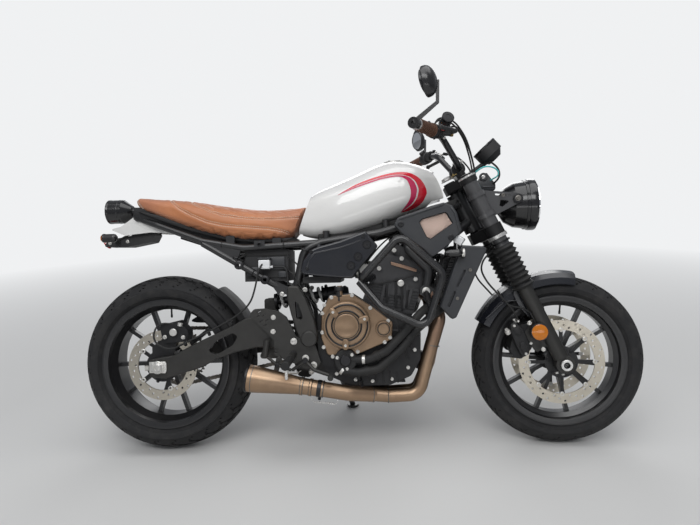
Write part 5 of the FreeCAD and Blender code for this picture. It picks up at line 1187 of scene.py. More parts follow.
def dress_cylinders():
    bosses = [(825, 701), (850, 672), (844, 588), (772, 640), (896, 600)]
    rows = [screw_row(socket_screw, 5.6, 7.0, y, bosses) for y in (-132, 132)]
    set_down(joined(rows), "head_screws", "screw_zinc")
    bars = []
    for foot, top in (((796, 527), (797, 579)), ((864, 509), (865, 560)), ((826, 508), (829, 599)),
                      ((847, 497), (849, 588)), ((827, 548), (848, 544))):
        spot, run = Vector((foot[0], -132, foot[1])), Vector((top[0] - foot[0], 0, top[1] - foot[1]))
        bars.append(brick((9, 8, run.length + 8), spot + run / 2, run, 2.4))
    set_down(joined(bars), "cylinder_side_ribs", "engine_black")
    strip = slab([(812, 662), (856, 650), (902, 634), (899, 624), (852, 639), (814, 651)], -131.5, -126, 1.2)
    set_down(strip, "head_gasket_plate", "bronze_pipe")
    lead = [(724, -140, 582), (760, -142, 586), (825, -141, 596), (880, -140, 608), (911, -136, 622)]
    set_down(wire(lead, 2.2), "knock_lead", "rubber_black")
    fins = []
    for i in range(9):
        x, z = 716 + i * 3.2, 516 + i * 9.4
        fins.append(slab([(x, z), (x + 168, z - 30), (x + 169, z - 26), (x + 1, z + 4)], -127.5, 127.5, 0.8, 1))
    set_down(joined(fins), "barrel_fins", "engine_grey")
    ribs = []
    for i in range(7):
        x, z = 786 + i * 19, 705 - i * 1.5
        ribs.append(slab([(x, z), (x + 6, z - 1), (x + 10, z - 44), (x + 4, z - 43)], -110, 110, 0.9, 1))
    set_down(joined(ribs), "cam_cover_ribs", "engine_grey")
    lip = slab([(776, 680), (778, 687), (916, 651), (914, 643)], -113, 113, 2.0)
    set_down(lip, "cam_cover_lip", "engine_black")
    coils = []
    for y in (-52, 52):
        coils.append(lathe([(13, 0), (13, 26), (16, 28), (16, 44), (12, 48), (3, 48)], (842, y, 702),
                           (-0.22, 0, 0.97), 20))
        coils.append(brick((22, 14, 12), (822, y, 746), (-0.22, 0, 0.97), 2.0))
    set_down(joined(coils), "ignition_coils", "plastic_black")
    leads = [pipe([(824, -52, 752), (800, -56, 764), (770, -70, 756), (744, -92, 716), (738, -98, 684)], 3.2),
             pipe([(824, 52, 752), (800, 40, 768), (762, -20, 762), (740, -84, 726), (732, -94, 680)], 3.2)]
    set_down(joined(leads), "ignition_leads", "rubber_black")
    bands = [lathe([(27.5, -4), (28.6, -3.4), (28.6, 3.4), (27.5, 4)], (x, y, z), (0.99, 0, 0.146), 36)
             for x, z in ((742, 640.5), (694, 633.5)) for y in (-52, 52)]
    set_down(joined(bands), "intake_clamps", "screw_zinc")
    wheel = lathe([(20, 0), (20, 1.4), (17, 2), (17, 4), (20, 4.6), (20, 6)], (724, -92, 638), OUT_RIGHT, 30)
    set_down(wheel, "throttle_wheel", "screw_zinc")
    cam_cable = [(724, -96, 656), (750, -104, 690), (800, -98, 742), (880, -78, 790), (960, -46, 824)]
    set_down(wire(cam_cable, 2.8), "throttle_cable_to_engine", "rubber_black")


def dress_exhaust():
    front, rear = Vector((548, -172, 243)), Vector((314, -172, 281))
    along = (rear - front).normalized()
    bands = [weld(front + along * reach, along, radius)
             for reach, radius in ((-26, 27), (13, 27.4), (21, 27.4), (43, 29), (51, 29))]
    bands += [weld((740, -132.3, 209.6), (-0.98, -0.17, 0.05), 25.5),
              weld((792, -126.2, 203.4), (-1, -0.03, 0), 23.5), weld((948, -117, 372), (-0.2, 0, -1), 23.5)]
    bands.append(hoop([(44.2, -2), (45.9, -1.2), (45.9, 1.2), (44.2, 2)], rear - along * 22, along, 60))
    set_down(joined(bands), "exhaust_weld_beads", "steel_dark")
    turns = coil((541, -172, 197), (0.72, 0, -0.09), OUT_LEFT, UP, 3.4, 6, 96)
    spring = pipe([(536, -172, 222), (533, -172, 206), (537, -172, 199)] + turns
                  + [(614, -172, 189), (622, -172, 196), (620, -170, 208)], 1.2, 1)
    set_down(spring, "exhaust_spring", "steel_bright")
    clamp = lathe([(27.5, -7), (29.0, -6), (29.0, 6), (27.5, 7)], front - along * 12, along, 44)
    ears = brick((9, 16, 12), front - along * 12 + Vector((0, 4, -32)), UP, 1.5)
    bolt = hex_bolt(4.4, 4.5, front - along * 12 + Vector((0, -4, -33)), OUT_RIGHT)
    set_down(joined([clamp, ears, bolt]), "silencer_clamp", "screw_black")
    rim = hoop([(44.6, -9), (46.8, -7), (46.8, -1), (45.4, 1.5), (38, 2.2), (31.5, 1.0), (30.2, -4), (30.2, -34),
                (31.5, -34), (32.5, -9)], rear, along, 64)
    set_down(rim, "silencer_end_ring", "screw_black")
    core = lathe([(29, -39), (29, -37), (18, -36), (17, -20), (15.4, -20), (15.2, -36)], rear, along, 48)
    set_down(core, "silencer_core", "screw_black")
    flanges = [brick((76, 40, 8), (962, y, 545), PORT_AXIS, 3.0) for y in (-52, 52)]
    studs = [hex_bolt(5.4, 8.0, (966, y, 543), PORT_AXIS) for y in (-82, -22, 22, 82)]
    set_down(joined(flanges + studs), "exhaust_flanges", "steel_dark")
    hanger = slab([(404, 292), (420, 292), (436, 340), (428, 352), (416, 346)], -170, -163, 1.5)
    bolt = hex_bolt(6.5, 8.0, (424, -170, 340), OUT_RIGHT)
    set_down(joined([hanger, bolt]), "silencer_hanger", "arm_grey")
    probe = [lathe([(9, 0), (9, 6), (7, 7), (7, 22), (4, 24), (3.6, 40)], (700, -148, 240), (-0.2, -0.2, 1), 6),
             pipe([(690, -156, 276), (682, -158, 292), (664, -154, 306), (640, -148, 318)], 2.4)]
    set_down(joined(probe), "oxygen_probe", "screw_black")


def hose_clamp(place, direction, radius):
    """A worm clamp: a slotted band and its screw housing."""
    band = lathe([(radius, -5), (radius + 1.0, -4.6), (radius + 1.0, 4.6), (radius, 5)], steps=40)
    housing = brick((10, 8, 7), (radius + 3.5, 0, 0), UP, 1.0)
    screw = lathe([(3.4, -8), (3.4, 8), (2.6, 8.6)], (radius + 4.5, 0, 0), (0, 1, 0), 6)
    whole = joined([band, housing, screw])
    whole.data.transform(facing(place, direction))
    return whole


def dress_cooling():
    clamps = [hose_clamp((712, -176, 336), (1, -0.1, 0), 14.4),
              hose_clamp((1004, -120, 547), (0.87, 0.2, 0.42), 14.4),
              hose_clamp((640, -172, 300), (0.6, -0.1, -0.5), 14.4),
              hose_clamp((988, -128, 502), (0.75, 0.5, 0.45), 14.4)]
    set_down(joined(clamps), "hose_clamps", "screw_zinc")
    shroud = screw_row(socket_screw, 6.0, 4.5, -181, [(1073, 627), (1028, 534)])
    set_down(both_sides(shroud), "shroud_screws", "steel_dark")
    block = brick((24, 30, 27), (1040, -178, 727), (0.5, -0.2, 0.85), 3.0)
    set_down(both_sides(block), "position_lamps", "pale_lens")
    low, high = Vector((1021.5, 0, 491.5)), Vector((1083.5, 0, 693.5))
    grille = [brick((286, 1.8, 1.6), low.lerp(high, (i + 0.5) / 26), (0.956, 0, -0.293), 0.3) for i in range(26)]
    set_down(joined(grille), "radiator_tubes", "engine_grey")
    tanks = [slab([(1050, 706), (1088, 694), (1024, 488), (988, 500)], side * 141, side * 152, 3.0)
             for side in (-1, 1)]
    neck = lathe([(17, 0), (17, 14), (24, 15), (24, 22), (22, 24), (8, 24), (7, 26), (2, 26)], (1058, 96, 694),
                 (-0.29, 0, 0.956), 24)
    set_down(joined(tanks + [neck]), "radiator_tanks", "engine_black")
    hub = lathe([(24, 0), (24, 8), (20, 10)], (978, 0, 606), FAN_AXIS, 28)
    ring = hoop([(82, -2), (86, -2), (86, 10), (82, 10)], (982, 0, 606), FAN_AXIS, 56)
    blade = brick((60, 22, 2.5), (52, 0, 3), (0, 0.35, 1), 0.8)
    turns = [Matrix.Rotation(radians(i * 360 / 7), 4, "Z") for i in range(7)]
    blades = copies(blade, [facing((980, 0, 606), FAN_AXIS) @ turn for turn in turns])
    set_down(joined([hub, ring, blades]), "radiator_fan", "plastic_black")
    stalks = lathe([(8.5, 0), (8.5, 6), (6.6, 8), (6.6, 14)], (1052, -182, 674), (-0.8, -0.55, 0.2), 20)
    set_down(both_sides(stalks), "front_lamp_boots", "rubber_black")


def dress_scoops():
    meshes = slab([(909, 789), (918, 799), (994, 819), (1016, 783), (944, 734), (931, 741)], -192.5, -189, 0.6)
    set_down(both_sides(meshes), "scoop_mesh", "copper_mesh")
    pair = screw_row(socket_screw, 8.0, 4.0, -200, [(846, 784), (1010, 736)])
    set_down(both_sides(pair), "scoop_screws", "screw_black")
    ridge = slab([(840, 804), (946, 838), (990, 849), (988, 842), (948, 831), (846, 799)], -203.0, -199.5, 1.4)
    edge = slab([(1016, 838), (1029, 817), (1043, 757), (1036, 752), (1022, 814), (1010, 834)],
                -203.0, -199.5, 1.4)
    set_down(both_sides(joined([ridge, edge])), "scoop_ridges", "scoop_grey")


def dress_side_covers():
    caps = [lathe([(13.4, 149.6), (13.4, 153), (12.4, 154), (6, 154), (5.4, 152.4), (1, 152.4)],
                  (x, 0, z), OUT_RIGHT, 28)
            for x, z in ((732, 721), (701, 681), (676, 651))]
    set_down(both_sides(joined(caps)), "side_cover_studs", "screw_black")
    line = slab([(520, 640), (530, 676), (552, 700), (640, 716), (716, 740), (712, 734), (641, 711), (556, 695),
                 (535, 674), (525, 640)], -157.2, -155.2, 0.8)
    set_down(both_sides(line), "side_cover_creases", "cover_black")
    corners = screw_row(socket_screw, 5.0, 3.6, -155.5, [(541, 702), (527, 645), (720, 750)])
    set_down(both_sides(corners), "side_cover_screws", "screw_black")
    skirt = slab([(560, 742), (770, 764), (960, 812), (1050, 856), (1050, 880), (960, 846), (770, 794),
                  (560, 766)],
                 -86, 86, 3.0)
    set_down(skirt, "tank_rubber_skirt", "rubber_black")


# ---- fork, front brakes and head ----

def dress_fork():
    yokes = [socket_screw(5.0, 7.0, on_fork(z) + Vector((14, y, 6)) + UP_THE_FORK * rise, (0.90, 0, 0.44))
             for y in (-72, 72) for z in (938, 792) for rise in (-9, 9)]
    on_bars(joined(yokes), "yoke_pinch_screws", "screw_zinc")
    caps = [lathe([(31.6, 0), (31.6, 5), (30, 7), (23, 7.6), (21, 12), (16, 14.5), (9, 15), (8.4, 12), (1, 12)],
                  on_fork(949, side), UP_THE_FORK, 44) for side in (-1, 1)]
    on_bars(joined(caps), "fork_caps", "steel_bright")
    collars, bands = [], []
    for side in (-1, 1):
        collars.append(lathe([(32.6, -6), (33.8, -5), (33.8, 5), (32.6, 6)], on_fork(744, side), UP_THE_FORK, 44))
        for z, size in ((724, 33.6), (579, 33.0)):
            bands.append(lathe([(size - 0.8, -3.2), (size + 0.4, -2.8), (size + 0.4, 2.8), (size - 0.8, 3.2)],
                               on_fork(z, side), UP_THE_FORK, 40))
    on_bars(joined(collars), "fork_collars", "steel_bright")
    on_bars(joined(bands), "gaiter_clips", "screw_black")
    stem = on_steering(958)
    nut = lathe([(19, 0), (19, 9), (16, 11), (9, 11), (8, 6), (1, 6)], stem, UP_THE_FORK, 6)
    washer = lathe([(23, -2), (23, 0.4), (21, 1)], stem, UP_THE_FORK, 36)
    on_bars(joined([nut, washer]), "stem_nut", "steel_bright")
    rings = []
    for y in (-38, 38):
        rings.append(lathe([(15, 0), (15, 2), (13, 2.6)], stem + Vector((26, y, 12)), UP_THE_FORK, 28))
        rings.append(lathe([(8, 2), (8, 8), (6.6, 9), (3.8, 9), (3.2, 5)], stem + Vector((26, y, 12)),
                           UP_THE_FORK, 6))
    on_bars(joined(rings), "bar_clamp_washers", "brass")
    lock = lathe([(17, 0), (17, 13), (15.5, 15), (11, 15), (10.4, 12), (1, 12)], stem + Vector((44, 0, 2)),
                 UP_THE_FORK, 32)
    slot = brick((10, 1.6, 1.4), stem + Vector((44, 0, 2)) + UP_THE_FORK * 12.4, UP_THE_FORK, 0.3)
    on_bars(joined([lock, slot]), "ignition_lock", "steel_bright")
    fender = [hex_bolt(4.6, 4.5, (x, y, z), outwards(y)) for y in (-79, 79) for x,
              z in ((1304, 566), (1268, 546))]
    on_bars(joined(fender), "fender_screws", "screw_black")
    pinch = [socket_screw(5.2, 6.0, (x, side * 112, z), (0.2, side * 0.3, -1))
             for side in (-1, 1) for x, z in ((1398, 268), (1378, 274))]
    on_bars(joined(pinch), "axle_pinch_screws", "screw_zinc")


def on_fork(z, side=0):
    """The middle of a fork leg at a height, or that of the fork between its legs, in millimetres."""
    return Vector((FRONT_HUB[0] - (z - FRONT_HUB[2]) * FORK_SLOPE, side * FORK_HALF_SPREAD, z))


def on_steering(z):
    """The steering axis at a height, in millimetres."""
    return on_fork(z) - Vector((STEM_BEHIND_FORK, 0, 0))


def dress_front_calipers():
    faces = screw_row(socket_screw, 5.4, 8.0, -139, [(1284, 447), (1328, 357)])
    small = screw_row(socket_screw, 3.6, 5.0, -128, [(1290, 376), (1273, 340), (1236, 436)])
    on_bars(both_sides(joined([faces, small])), "caliper_screws", "screw_zinc")
    body = slab([(1222, 440), (1238, 452), (1268, 424), (1288, 372), (1284, 338), (1262, 326), (1242, 366),
                 (1226, 410)],
                -128, -99, 5.0, 3)
    bridge = slab([(1230, 424), (1246, 436), (1262, 416), (1250, 402)], -133, -127, 2.0)
    lower = slab([(1252, 378), (1268, 384), (1278, 352), (1262, 344)], -133, -127, 2.0)
    pads = [lathe([(13.5, 126), (13.5, 130.5), (11.5, 132), (4, 132)], (x, 0, z), OUT_RIGHT, 30)
            for x, z in ((1244, 420), (1266, 364))]
    on_bars(both_sides(joined([body, bridge, lower] + pads)), "caliper_bodies", "engine_black")
    pin = lathe([(3.4, -128), (3.4, -72)], (1250, 0, 452), OUT_LEFT, 16)
    bleed = lathe([(4.6, 0), (4.6, 4), (3.2, 5), (3.2, 12), (4.2, 12.4), (4.2, 15), (3, 16)], (1244, -112, 444),
                  (-0.45, 0, 0.9), 14)
    on_bars(both_sides(joined([pin, bleed])), "caliper_pins", "screw_zinc")
    banjo = [lathe([(9.5, -6), (9.5, 6), (8.8, 6.6)], (1216, -118, 414), (-0.5, -0.3, 0.8), 26),
             hex_bolt(6.4, 14, (1216, -118, 414), (-0.5, -0.3, 0.8))]
    on_bars(both_sides(joined(banjo)), "brake_hose_unions", "screw_zinc")
    shade = hoop([(26.6, 134), (30.6, 134), (30.6, 138), (29.4, 139.6), (26.6, 139.2)],
                 REFLECTOR_MIDDLE, OUT_RIGHT, 48)
    on_bars(both_sides(shade), "side_reflector_cups", "plastic_black")
    disc = lathe([(27, 136.6), (27, 139), (22, 141), (10, 142), (2, 142.2)], REFLECTOR_MIDDLE, OUT_RIGHT, 48)
    on_bars(both_sides(disc), "side_reflectors", "amber_lens")
    lead = [(1184, -118, 560), (1204, -118, 522), (1232, -124, 500), (1262, -124, 500), (1291, -124, 481),
            (1309, -120, 444), (1330, -112, 400), (1366, -92, 340), (1388, -76, 316)]
    on_bars(wire(lead, 2.4), "wheel_speed_lead", "rubber_black")
    clips = [lathe([(4.2, -3.5), (4.2, 3.5), (3.6, 4)], place, direction, 14)
             for place, direction in (((1204, -118, 523), (0.8, 0, -0.6)), ((1291, -124, 480), (0.5, 0, -0.8)))]
    on_bars(joined(clips), "speed_lead_clips", "screw_black")


def dress_headlight():
    ring = hoop([(85, 7), (91, 8), (92.4, 13), (92.6, 29), (91, 34.5), (84, 37), (77, 34.5), (76.4, 28),
                 (85, 20)],
                LAMP_MIDDLE, AHEAD, 96)
    seam = hoop([(86.5, -3), (89.0, -2.4), (89.0, 1.4), (87.0, 2)], LAMP_MIDDLE, AHEAD, 96)
    on_bars(joined([ring, seam]), "headlight_rim", "lamp_black", 40)
    bowl = hoop([(76.2, 30), (74, 22), (64, 8), (48, -4), (30, -11), (17, -13), (17, -15), (31, -13), (50, -6),
                 (66, 6), (76, 20), (78, 30)], BULB_MIDDLE, AHEAD, 72)
    on_bars(bowl, "headlight_reflector", "reflector_bowl", 60)
    shade = lathe([(15, -14), (15, 8), (13, 12), (5, 13)], BULB_MIDDLE, AHEAD, 30)
    on_bars(shade, "headlight_bulb_shade", "steel_bright")
    glass = hoop([(75.8, 30), (70, 33.5), (52, 37.5), (30, 39.6), (4, 40.2), (4, 38.4), (30, 37.8), (52, 35.7),
                  (70, 31.7), (74.8, 28.6)], LAMP_MIDDLE, AHEAD, 72)
    plug = lathe([(4.2, 38.4), (4.2, 40.2)], LAMP_MIDDLE, AHEAD, 72)
    on_bars(joined([glass, plug]), "headlight_glass", "lens", 60)
    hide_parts("headlight_lens")
    bolts, rings = [], []
    for side in (-1, 1):
        out = outwards(side)
        bolts.append(hex_bolt(8.0, 8.5, (1262, side * 113, 873), out))
        bolts.append(socket_screw(5.0, 5.5, (1209, side * 124, 884), out))
        rings.append(lathe([(16.5, 108), (16.5, 112.6), (15, 113.6), (9, 113.6)], (1262, 0, 873), out, 36))
    on_bars(joined(bolts), "headlight_bolts", "steel_dark")
    on_bars(joined(rings), "headlight_washers", "screw_black")


GAUGE_TILT = radians(42)


def dress_gauge():
    middle = Vector((1181, 0, 1056))
    look = Vector((-sin(GAUGE_TILT), 0, cos(GAUGE_TILT)))
    spot = facing(middle, look)
    left = spot.to_3x3().inverted() @ Vector(OUT_LEFT)
    spot = spot @ Matrix.Rotation(atan2(left.y, left.x) - pi / 2, 4, "Z")

    def on_gauge(piece, name, finish, smooth=32.0):
        """Sets a piece down that was drawn about the gauge's own axis."""
        piece.data.transform(spot)
        on_bars(piece, name, finish, smooth)

    ring = hoop([(41.2, 15), (42, 21.5), (44, 23.6), (47.6, 23.2), (48.6, 20.6), (48.2, 17), (47.2, 15)],
                steps=80)
    on_gauge(ring, "gauge_bezel", "lamp_black", 50)
    on_gauge(lathe([(40.9, 14.8), (40.9, 15.8)], steps=64), "gauge_dial", "dial_face")
    marks = []
    for i in range(49):
        wide, tall, out = (1.4, 6.0, 36.0) if i % 4 == 0 else (0.7, 3.2, 37.4)
        mark = brick((wide, tall, 0.5), (0, 0, 0), UP, 0.12)
        mark.data.transform(Matrix.Rotation(radians(-120 + i * 5), 4, "Z") @ Matrix.Translation(at(0, out, 16.0)))
        marks.append(mark)
    on_gauge(joined(marks), "gauge_marks", "dial_mark")
    on_gauge(brick((30, 15, 0.4), (0, -13, 16.0), UP, 0.15), "gauge_window", "steel_dark")
    needle = brick((1.8, 30, 0.8), (0, 12, 18.6), UP, 0.3)
    needle.data.transform(Matrix.Rotation(radians(118), 4, "Z"))
    boss = lathe([(5, 16), (5, 19.5), (4, 20.2)], steps=24)
    on_gauge(joined([needle, boss]), "gauge_needle", "switch_red")
    on_gauge(lathe([(41.0, 20.4), (41.0, 21.2), (20, 22.2), (4, 22.4)], steps=64), "gauge_glass", "lens", 60)
    lead = [(1180, -20, 1020), (1206, -34, 1000), (1216, -44, 968), (1206, -40, 944), (1190, -14, 934)]
    on_bars(wire(lead, 3.4), "gauge_lead", "rubber_black")
    cyan = [(1128, -34, 976), (1149, -42, 994), (1180, -46, 997), (1206, -46, 984), (1212, -42, 964),
            (1194, -34, 953), (1180, -12, 948)]
    on_bars(wire(cyan, 2.7), "cyan_lead", "cyan_lead")
    relay = slab([(1104, 914), (1196, 911), (1203, 918), (1203, 938), (1190, 953), (1173, 978), (1160, 974),
                  (1142, 950), (1104, 944)], -22, 48, 4.0, 3)
    boss = lathe([(15, 0), (15, 5), (13.4, 6.4)], (1160, -20, 962), OUT_RIGHT, 30)
    ledge = brick((40, 5, 7), (1176, -22.5, 926), UP, 1.6)
    on_bars(joined([relay, boss, ledge]), "relay_box", "scoop_grey")
    on_bars(hex_bolt(5.4, 5.2, (1160, -26, 962), OUT_RIGHT), "relay_bolt", "steel_bright")
    rear = lathe([(30, 0), (30, 8), (12, 12), (11, 20)], middle - look * 20, -look, 30)
    on_bars(rear, "gauge_socket", "plastic_black")


# ---- handlebar, levers, switches and mirrors ----

# The right grip's axis, from its end inwards.
INWARD = Vector((0.3947, 0.9172, 0.0500))


def dress_bar_ends():
    end = Vector((916, -375, 1078.3))
    weight = lathe([(11, 4), (16, 2), (17.5, -2), (17.5, -11), (16, -14), (10, -16.5), (4, -17.4), (1, -17.5)],
                   end, INWARD, 44)
    on_bars(both_sides(weight), "bar_end_weights", "steel_bright")
    flange = lathe([(19, -2), (19.6, 0), (19, 2), (17, 3)], Vector((958, -277.5, 1083.6)), INWARD, 40)
    on_bars(both_sides(flange), "grip_flanges", "grip_brown")
    clamps = [socket_screw(4.8, 8.0, (x, y, z), (-0.3, 0, 0.95))
              for y in (-38, 38) for x, z in ((1054.75, 1005.5), (1083.25, 1014.5))]
    on_bars(joined(clamps), "bar_clamp_screws", "screw_zinc")


def dress_switches():
    house = Vector((971.3, -246.6, 1085.3))
    red = lathe([(6.4, 0), (6.4, 7), (5.6, 8), (3, 8.4)], (951.5, -236.7, 1111), (-0.55, 0.2, 0.8), 20)
    rocker = brick((11, 18, 6), (953, -249, 1098), (-0.72, 0.25, 0.62), 1.6, 20)
    key = brick((13, 12, 15), (1002, -243, 1094), (0.2, 0, 1), 2.6)
    on_bars(joined([red, rocker, key]), "stop_switch", "switch_red")
    dark = brick((9, 12, 5), (949, -262, 1081), (-0.95, 0.2, 0.05), 1.4, 10)
    slide = brick((8, 16, 5), (950, 252, 1092), (-0.9, -0.3, 0.35), 1.5, 10)
    horn = lathe([(7, 0), (7, 4), (5, 5)], (948, 262, 1076), (-0.95, -0.3, 0), 20)
    on_bars(joined([dark, slide, horn]), "switch_keys", "steel_dark")
    seams = lathe([(23.6, -1), (23.9, -0.6), (23.9, 0.6), (23.6, 1)], house, INWARD, 40)
    bolts = [socket_screw(3.2, 4.0, house + Vector((x, y, -21.5)), DOWN) for x, y in ((-4, -8), (2, 8))]
    on_bars(both_sides(joined([seams] + bolts)), "switch_screws", "screw_black")
    perch = [hex_bolt(6.0, 7.0, (1020, -224, 1094), (-0.1, 0, 1)),
             socket_screw(4.2, 5.0, (1008, -206, 1101), (0.6, 0, 0.8)),
             socket_screw(4.2, 5.0, (1008, -206, 1072), (0.6, 0, -0.8))]
    on_bars(both_sides(joined(perch)), "lever_pivot_bolts", "screw_zinc")
    adjuster = lathe([(7.5, 0), (7.5, 6), (6.6, 6.6), (5.2, 7), (5.2, 14), (3.6, 16), (3.6, 28)],
                     (1024, 196, 1086), (0.5, -0.86, 0.0), 20)
    boot = lathe([(6.2, 0), (6.2, 20), (4, 26), (3.4, 34)], (1038, 172, 1087), (0.42, -0.86, -0.25), 20)
    on_bars(adjuster, "clutch_adjuster", "screw_zinc")
    on_bars(boot, "clutch_boot", "rubber_black")
    cable = [(1046, 158, 1084), (1074, 118, 1070), (1110, 76, 1030), (1134, 50, 980), (1132, 40, 930),
             (1122, 36, 884)]
    on_bars(wire(cable, 3.2), "clutch_cable", "rubber_black")
    top, low = Vector((1016.7, -257.4, 1123)), Vector((1006.7, -223.4, 1109))
    band = lathe([(19.5, -1.5), (20.2, -1), (20.2, 4.5), (18.6, 6), (9, 6.4), (8.4, 5.4), (1, 5.4)],
                 top, top - low, 40)
    on_bars(band, "fluid_cup_lid", "screw_black")
    glass = lathe([(5, 0), (5, 2.4), (4.2, 3)], (1000, -248, 1112), (-0.9, -0.2, 0.2), 20)
    on_bars(glass, "fluid_window", "amber_lens")
    hose = [(1004, -219, 1104), (1006, -210, 1092), (1016, -204, 1086)]
    on_bars(wire(hose, 5.0), "fluid_cup_hose", "rubber_black")
    union = [lathe([(8, -6), (8, 6), (7, 6.6)], (1032, -198, 1084), (0.2, 0.3, 0.93), 22),
             hex_bolt(6.0, 12, (1032, -198, 1086), (0.2, 0.3, 0.93))]
    on_bars(joined(union), "brake_line_union", "brass")


def dress_mirrors():
    place = Matrix.Translation(at(946, -410, 1194)) @ Matrix.Rotation(radians(-8.5), 4, "Y")
    place = place @ Matrix.Rotation(radians(-24), 4, "Z")
    glass = lathe([(36.0, 6.0), (36.0, 7.6), (34.6, 8.2)], steps=72)
    edge = hoop([(35.8, 5.5), (38.2, 5.0), (38.8, 6.6), (38.0, 8.8), (36.2, 9.0)], steps=72)
    for piece, wide, name, finish in ((glass, 44.2 / 36.0, "mirror_glass", "mirror_glass"),
                                      (edge, 47.0 / 38.4, "mirror_edges", "guard_black")):
        piece.data.transform(Matrix.Diagonal((1.0, wide, 1.0, 1.0)))
        piece.data.transform(Matrix.Rotation(radians(-90), 4, "Y"))
        piece.data.transform(place)
        on_bars(both_sides(piece), name, finish, 50)
    nuts = hex_bolt(7.5, 9.0, (1002, -222, 1104), UP)
    on_bars(both_sides(nuts), "mirror_nuts", "screw_black")


# ---- frame, rests, swingarm and tail ----

def weld(place, direction, radius):
    """A rippled bead where two tubes meet."""
    bead = hoop([(radius - 2.5, -2.2), (radius + 1.4, -1.4), (radius + 2.2, 0), (radius + 1.4, 1.4),
                 (radius - 2.5, 2.2)], place, direction, 40)
    for vertex in bead.data.vertices:
        vertex.co += vertex.normal * 0.0004 * sin(vertex.co.z * 2600 + vertex.co.x * 2100)
    return bead


def dress_frame():
    bolts = [hex_bolt(10.5, 9.0, (927, -168, 560), OUT_RIGHT), hex_bolt(9.0, 8.0, (844, -146, 588), OUT_RIGHT),
             hex_bolt(6.5, 6.0, (430, -104, 558), OUT_RIGHT),
             hex_bolt(7.0, 7.0, (512, -112, 571), OUT_RIGHT)]
    set_down(both_sides(joined(bolts)), "frame_bolts", "screw_zinc")
    eyes = [hoop([(6.2, -4), (12, -3), (14.4, -1), (14.6, 2.4), (12, 4), (7, 4), (6.2, 3)],
                 (x, -116.5, z), OUT_RIGHT, 36)
            for x, z in ((373, 610), (282, 664))]
    eyes.append(hoop([(4.8, -2), (8.4, -1.6), (8.4, 1.6), (5.4, 2)], (355, -112, 735), OUT_RIGHT, 28))
    set_down(both_sides(joined(eyes)), "frame_eyes", "screw_black")
    cup = [brick((40.5, 30.5, 32), (370, -98, 664), UP, 3.0), brick((16, 10, 8), (392, -98, 655), UP, 2.0)]
    set_down(joined(cup), "rear_fluid_cup", "pale_lens")
    pan = slab([(-110, 846), (-20, 811), (150, 748), (298, 722), (420, 724), (420, 750), (298, 768),
                (242, 786), (150, 813), (98, 831), (-20, 867), (-110, 884)], -68, 68, 3.0)
    set_down(pan, "seat_pan", "plastic_black")
    beads = [weld((570, -104, 737), (0, 1, 0), 11), weld((1064, -19, 864), (0.8, 0.5, 0.4), 19),
             weld((1098, -19, 800), (0.6, 0.75, 0.4), 17), weld((512, -104, 712), (0.5, 0, 0.9), 15),
             weld((486, -88, 596), (0.1, -0.1, 1), 15), weld((270, -104, 690), (0.2, 0.1, 1), 10),
             weld((150, -96, 750), (-0.9, 0.1, 0.35), 11)]
    set_down(both_sides(joined(beads)), "frame_welds", "frame_black")
    ties = [weld((930, -146, 590), (0.2, 0, 1), 14), weld((330, -104, 636), (-0.85, 0, 0.5), 10.5),
            weld((440, -104, 730), (1, 0, 0.04), 10.5), weld((220, -100, 738), (-1, 0, 0.2), 10.5)]
    set_down(joined(ties), "cable_ties", "plastic_black")
    wires = [[(300, -90, 700), (286, -98, 690), (262, -96, 694), (226, -88, 708), (170, -78, 738),
              (90, -66, 768)],
             [(452, -90, 690), (470, -100, 676), (498, -104, 650), (520, -104, 600), (512, -106, 560),
              (524, -96, 520)],
             [(452, -84, 640), (470, -92, 628), (484, -106, 604), (506, -112, 566), (540, -116, 520),
              (572, -110, 486)]]
    for number, run in enumerate(wires):
        set_down(wire(run, 3.4 - 0.5 * number), "loom_%d" % number, "rubber_black")
    lid = [brick((44, 34, 5), (370, -98, 685), UP, 2.0), socket_screw(3.0, 3.0, (356, -98, 687.5), UP),
           socket_screw(3.0, 3.0, (384, -98, 687.5), UP)]
    set_down(joined(lid), "rear_fluid_lid", "scoop_grey")
    boxes = [brick((64, 6, 46), (408, -86, 668), UP, 2.5), brick((40, 5, 30), (324, -86, 640), UP, 2.0),
             brick((30, 12, 22), (432, -90, 628), UP, 2.5)]
    set_down(both_sides(joined(boxes)), "battery_box_lids", "scoop_grey")
    strap = [slab([(300, 700), (448, 700), (448, 694), (300, 694)], -86.5, 86.5, 1.2),
             slab([(300, 622), (448, 622), (448, 616), (300, 616)], -86.5, 86.5, 1.2)]
    set_down(joined(strap), "battery_box_straps", "rubber_black")


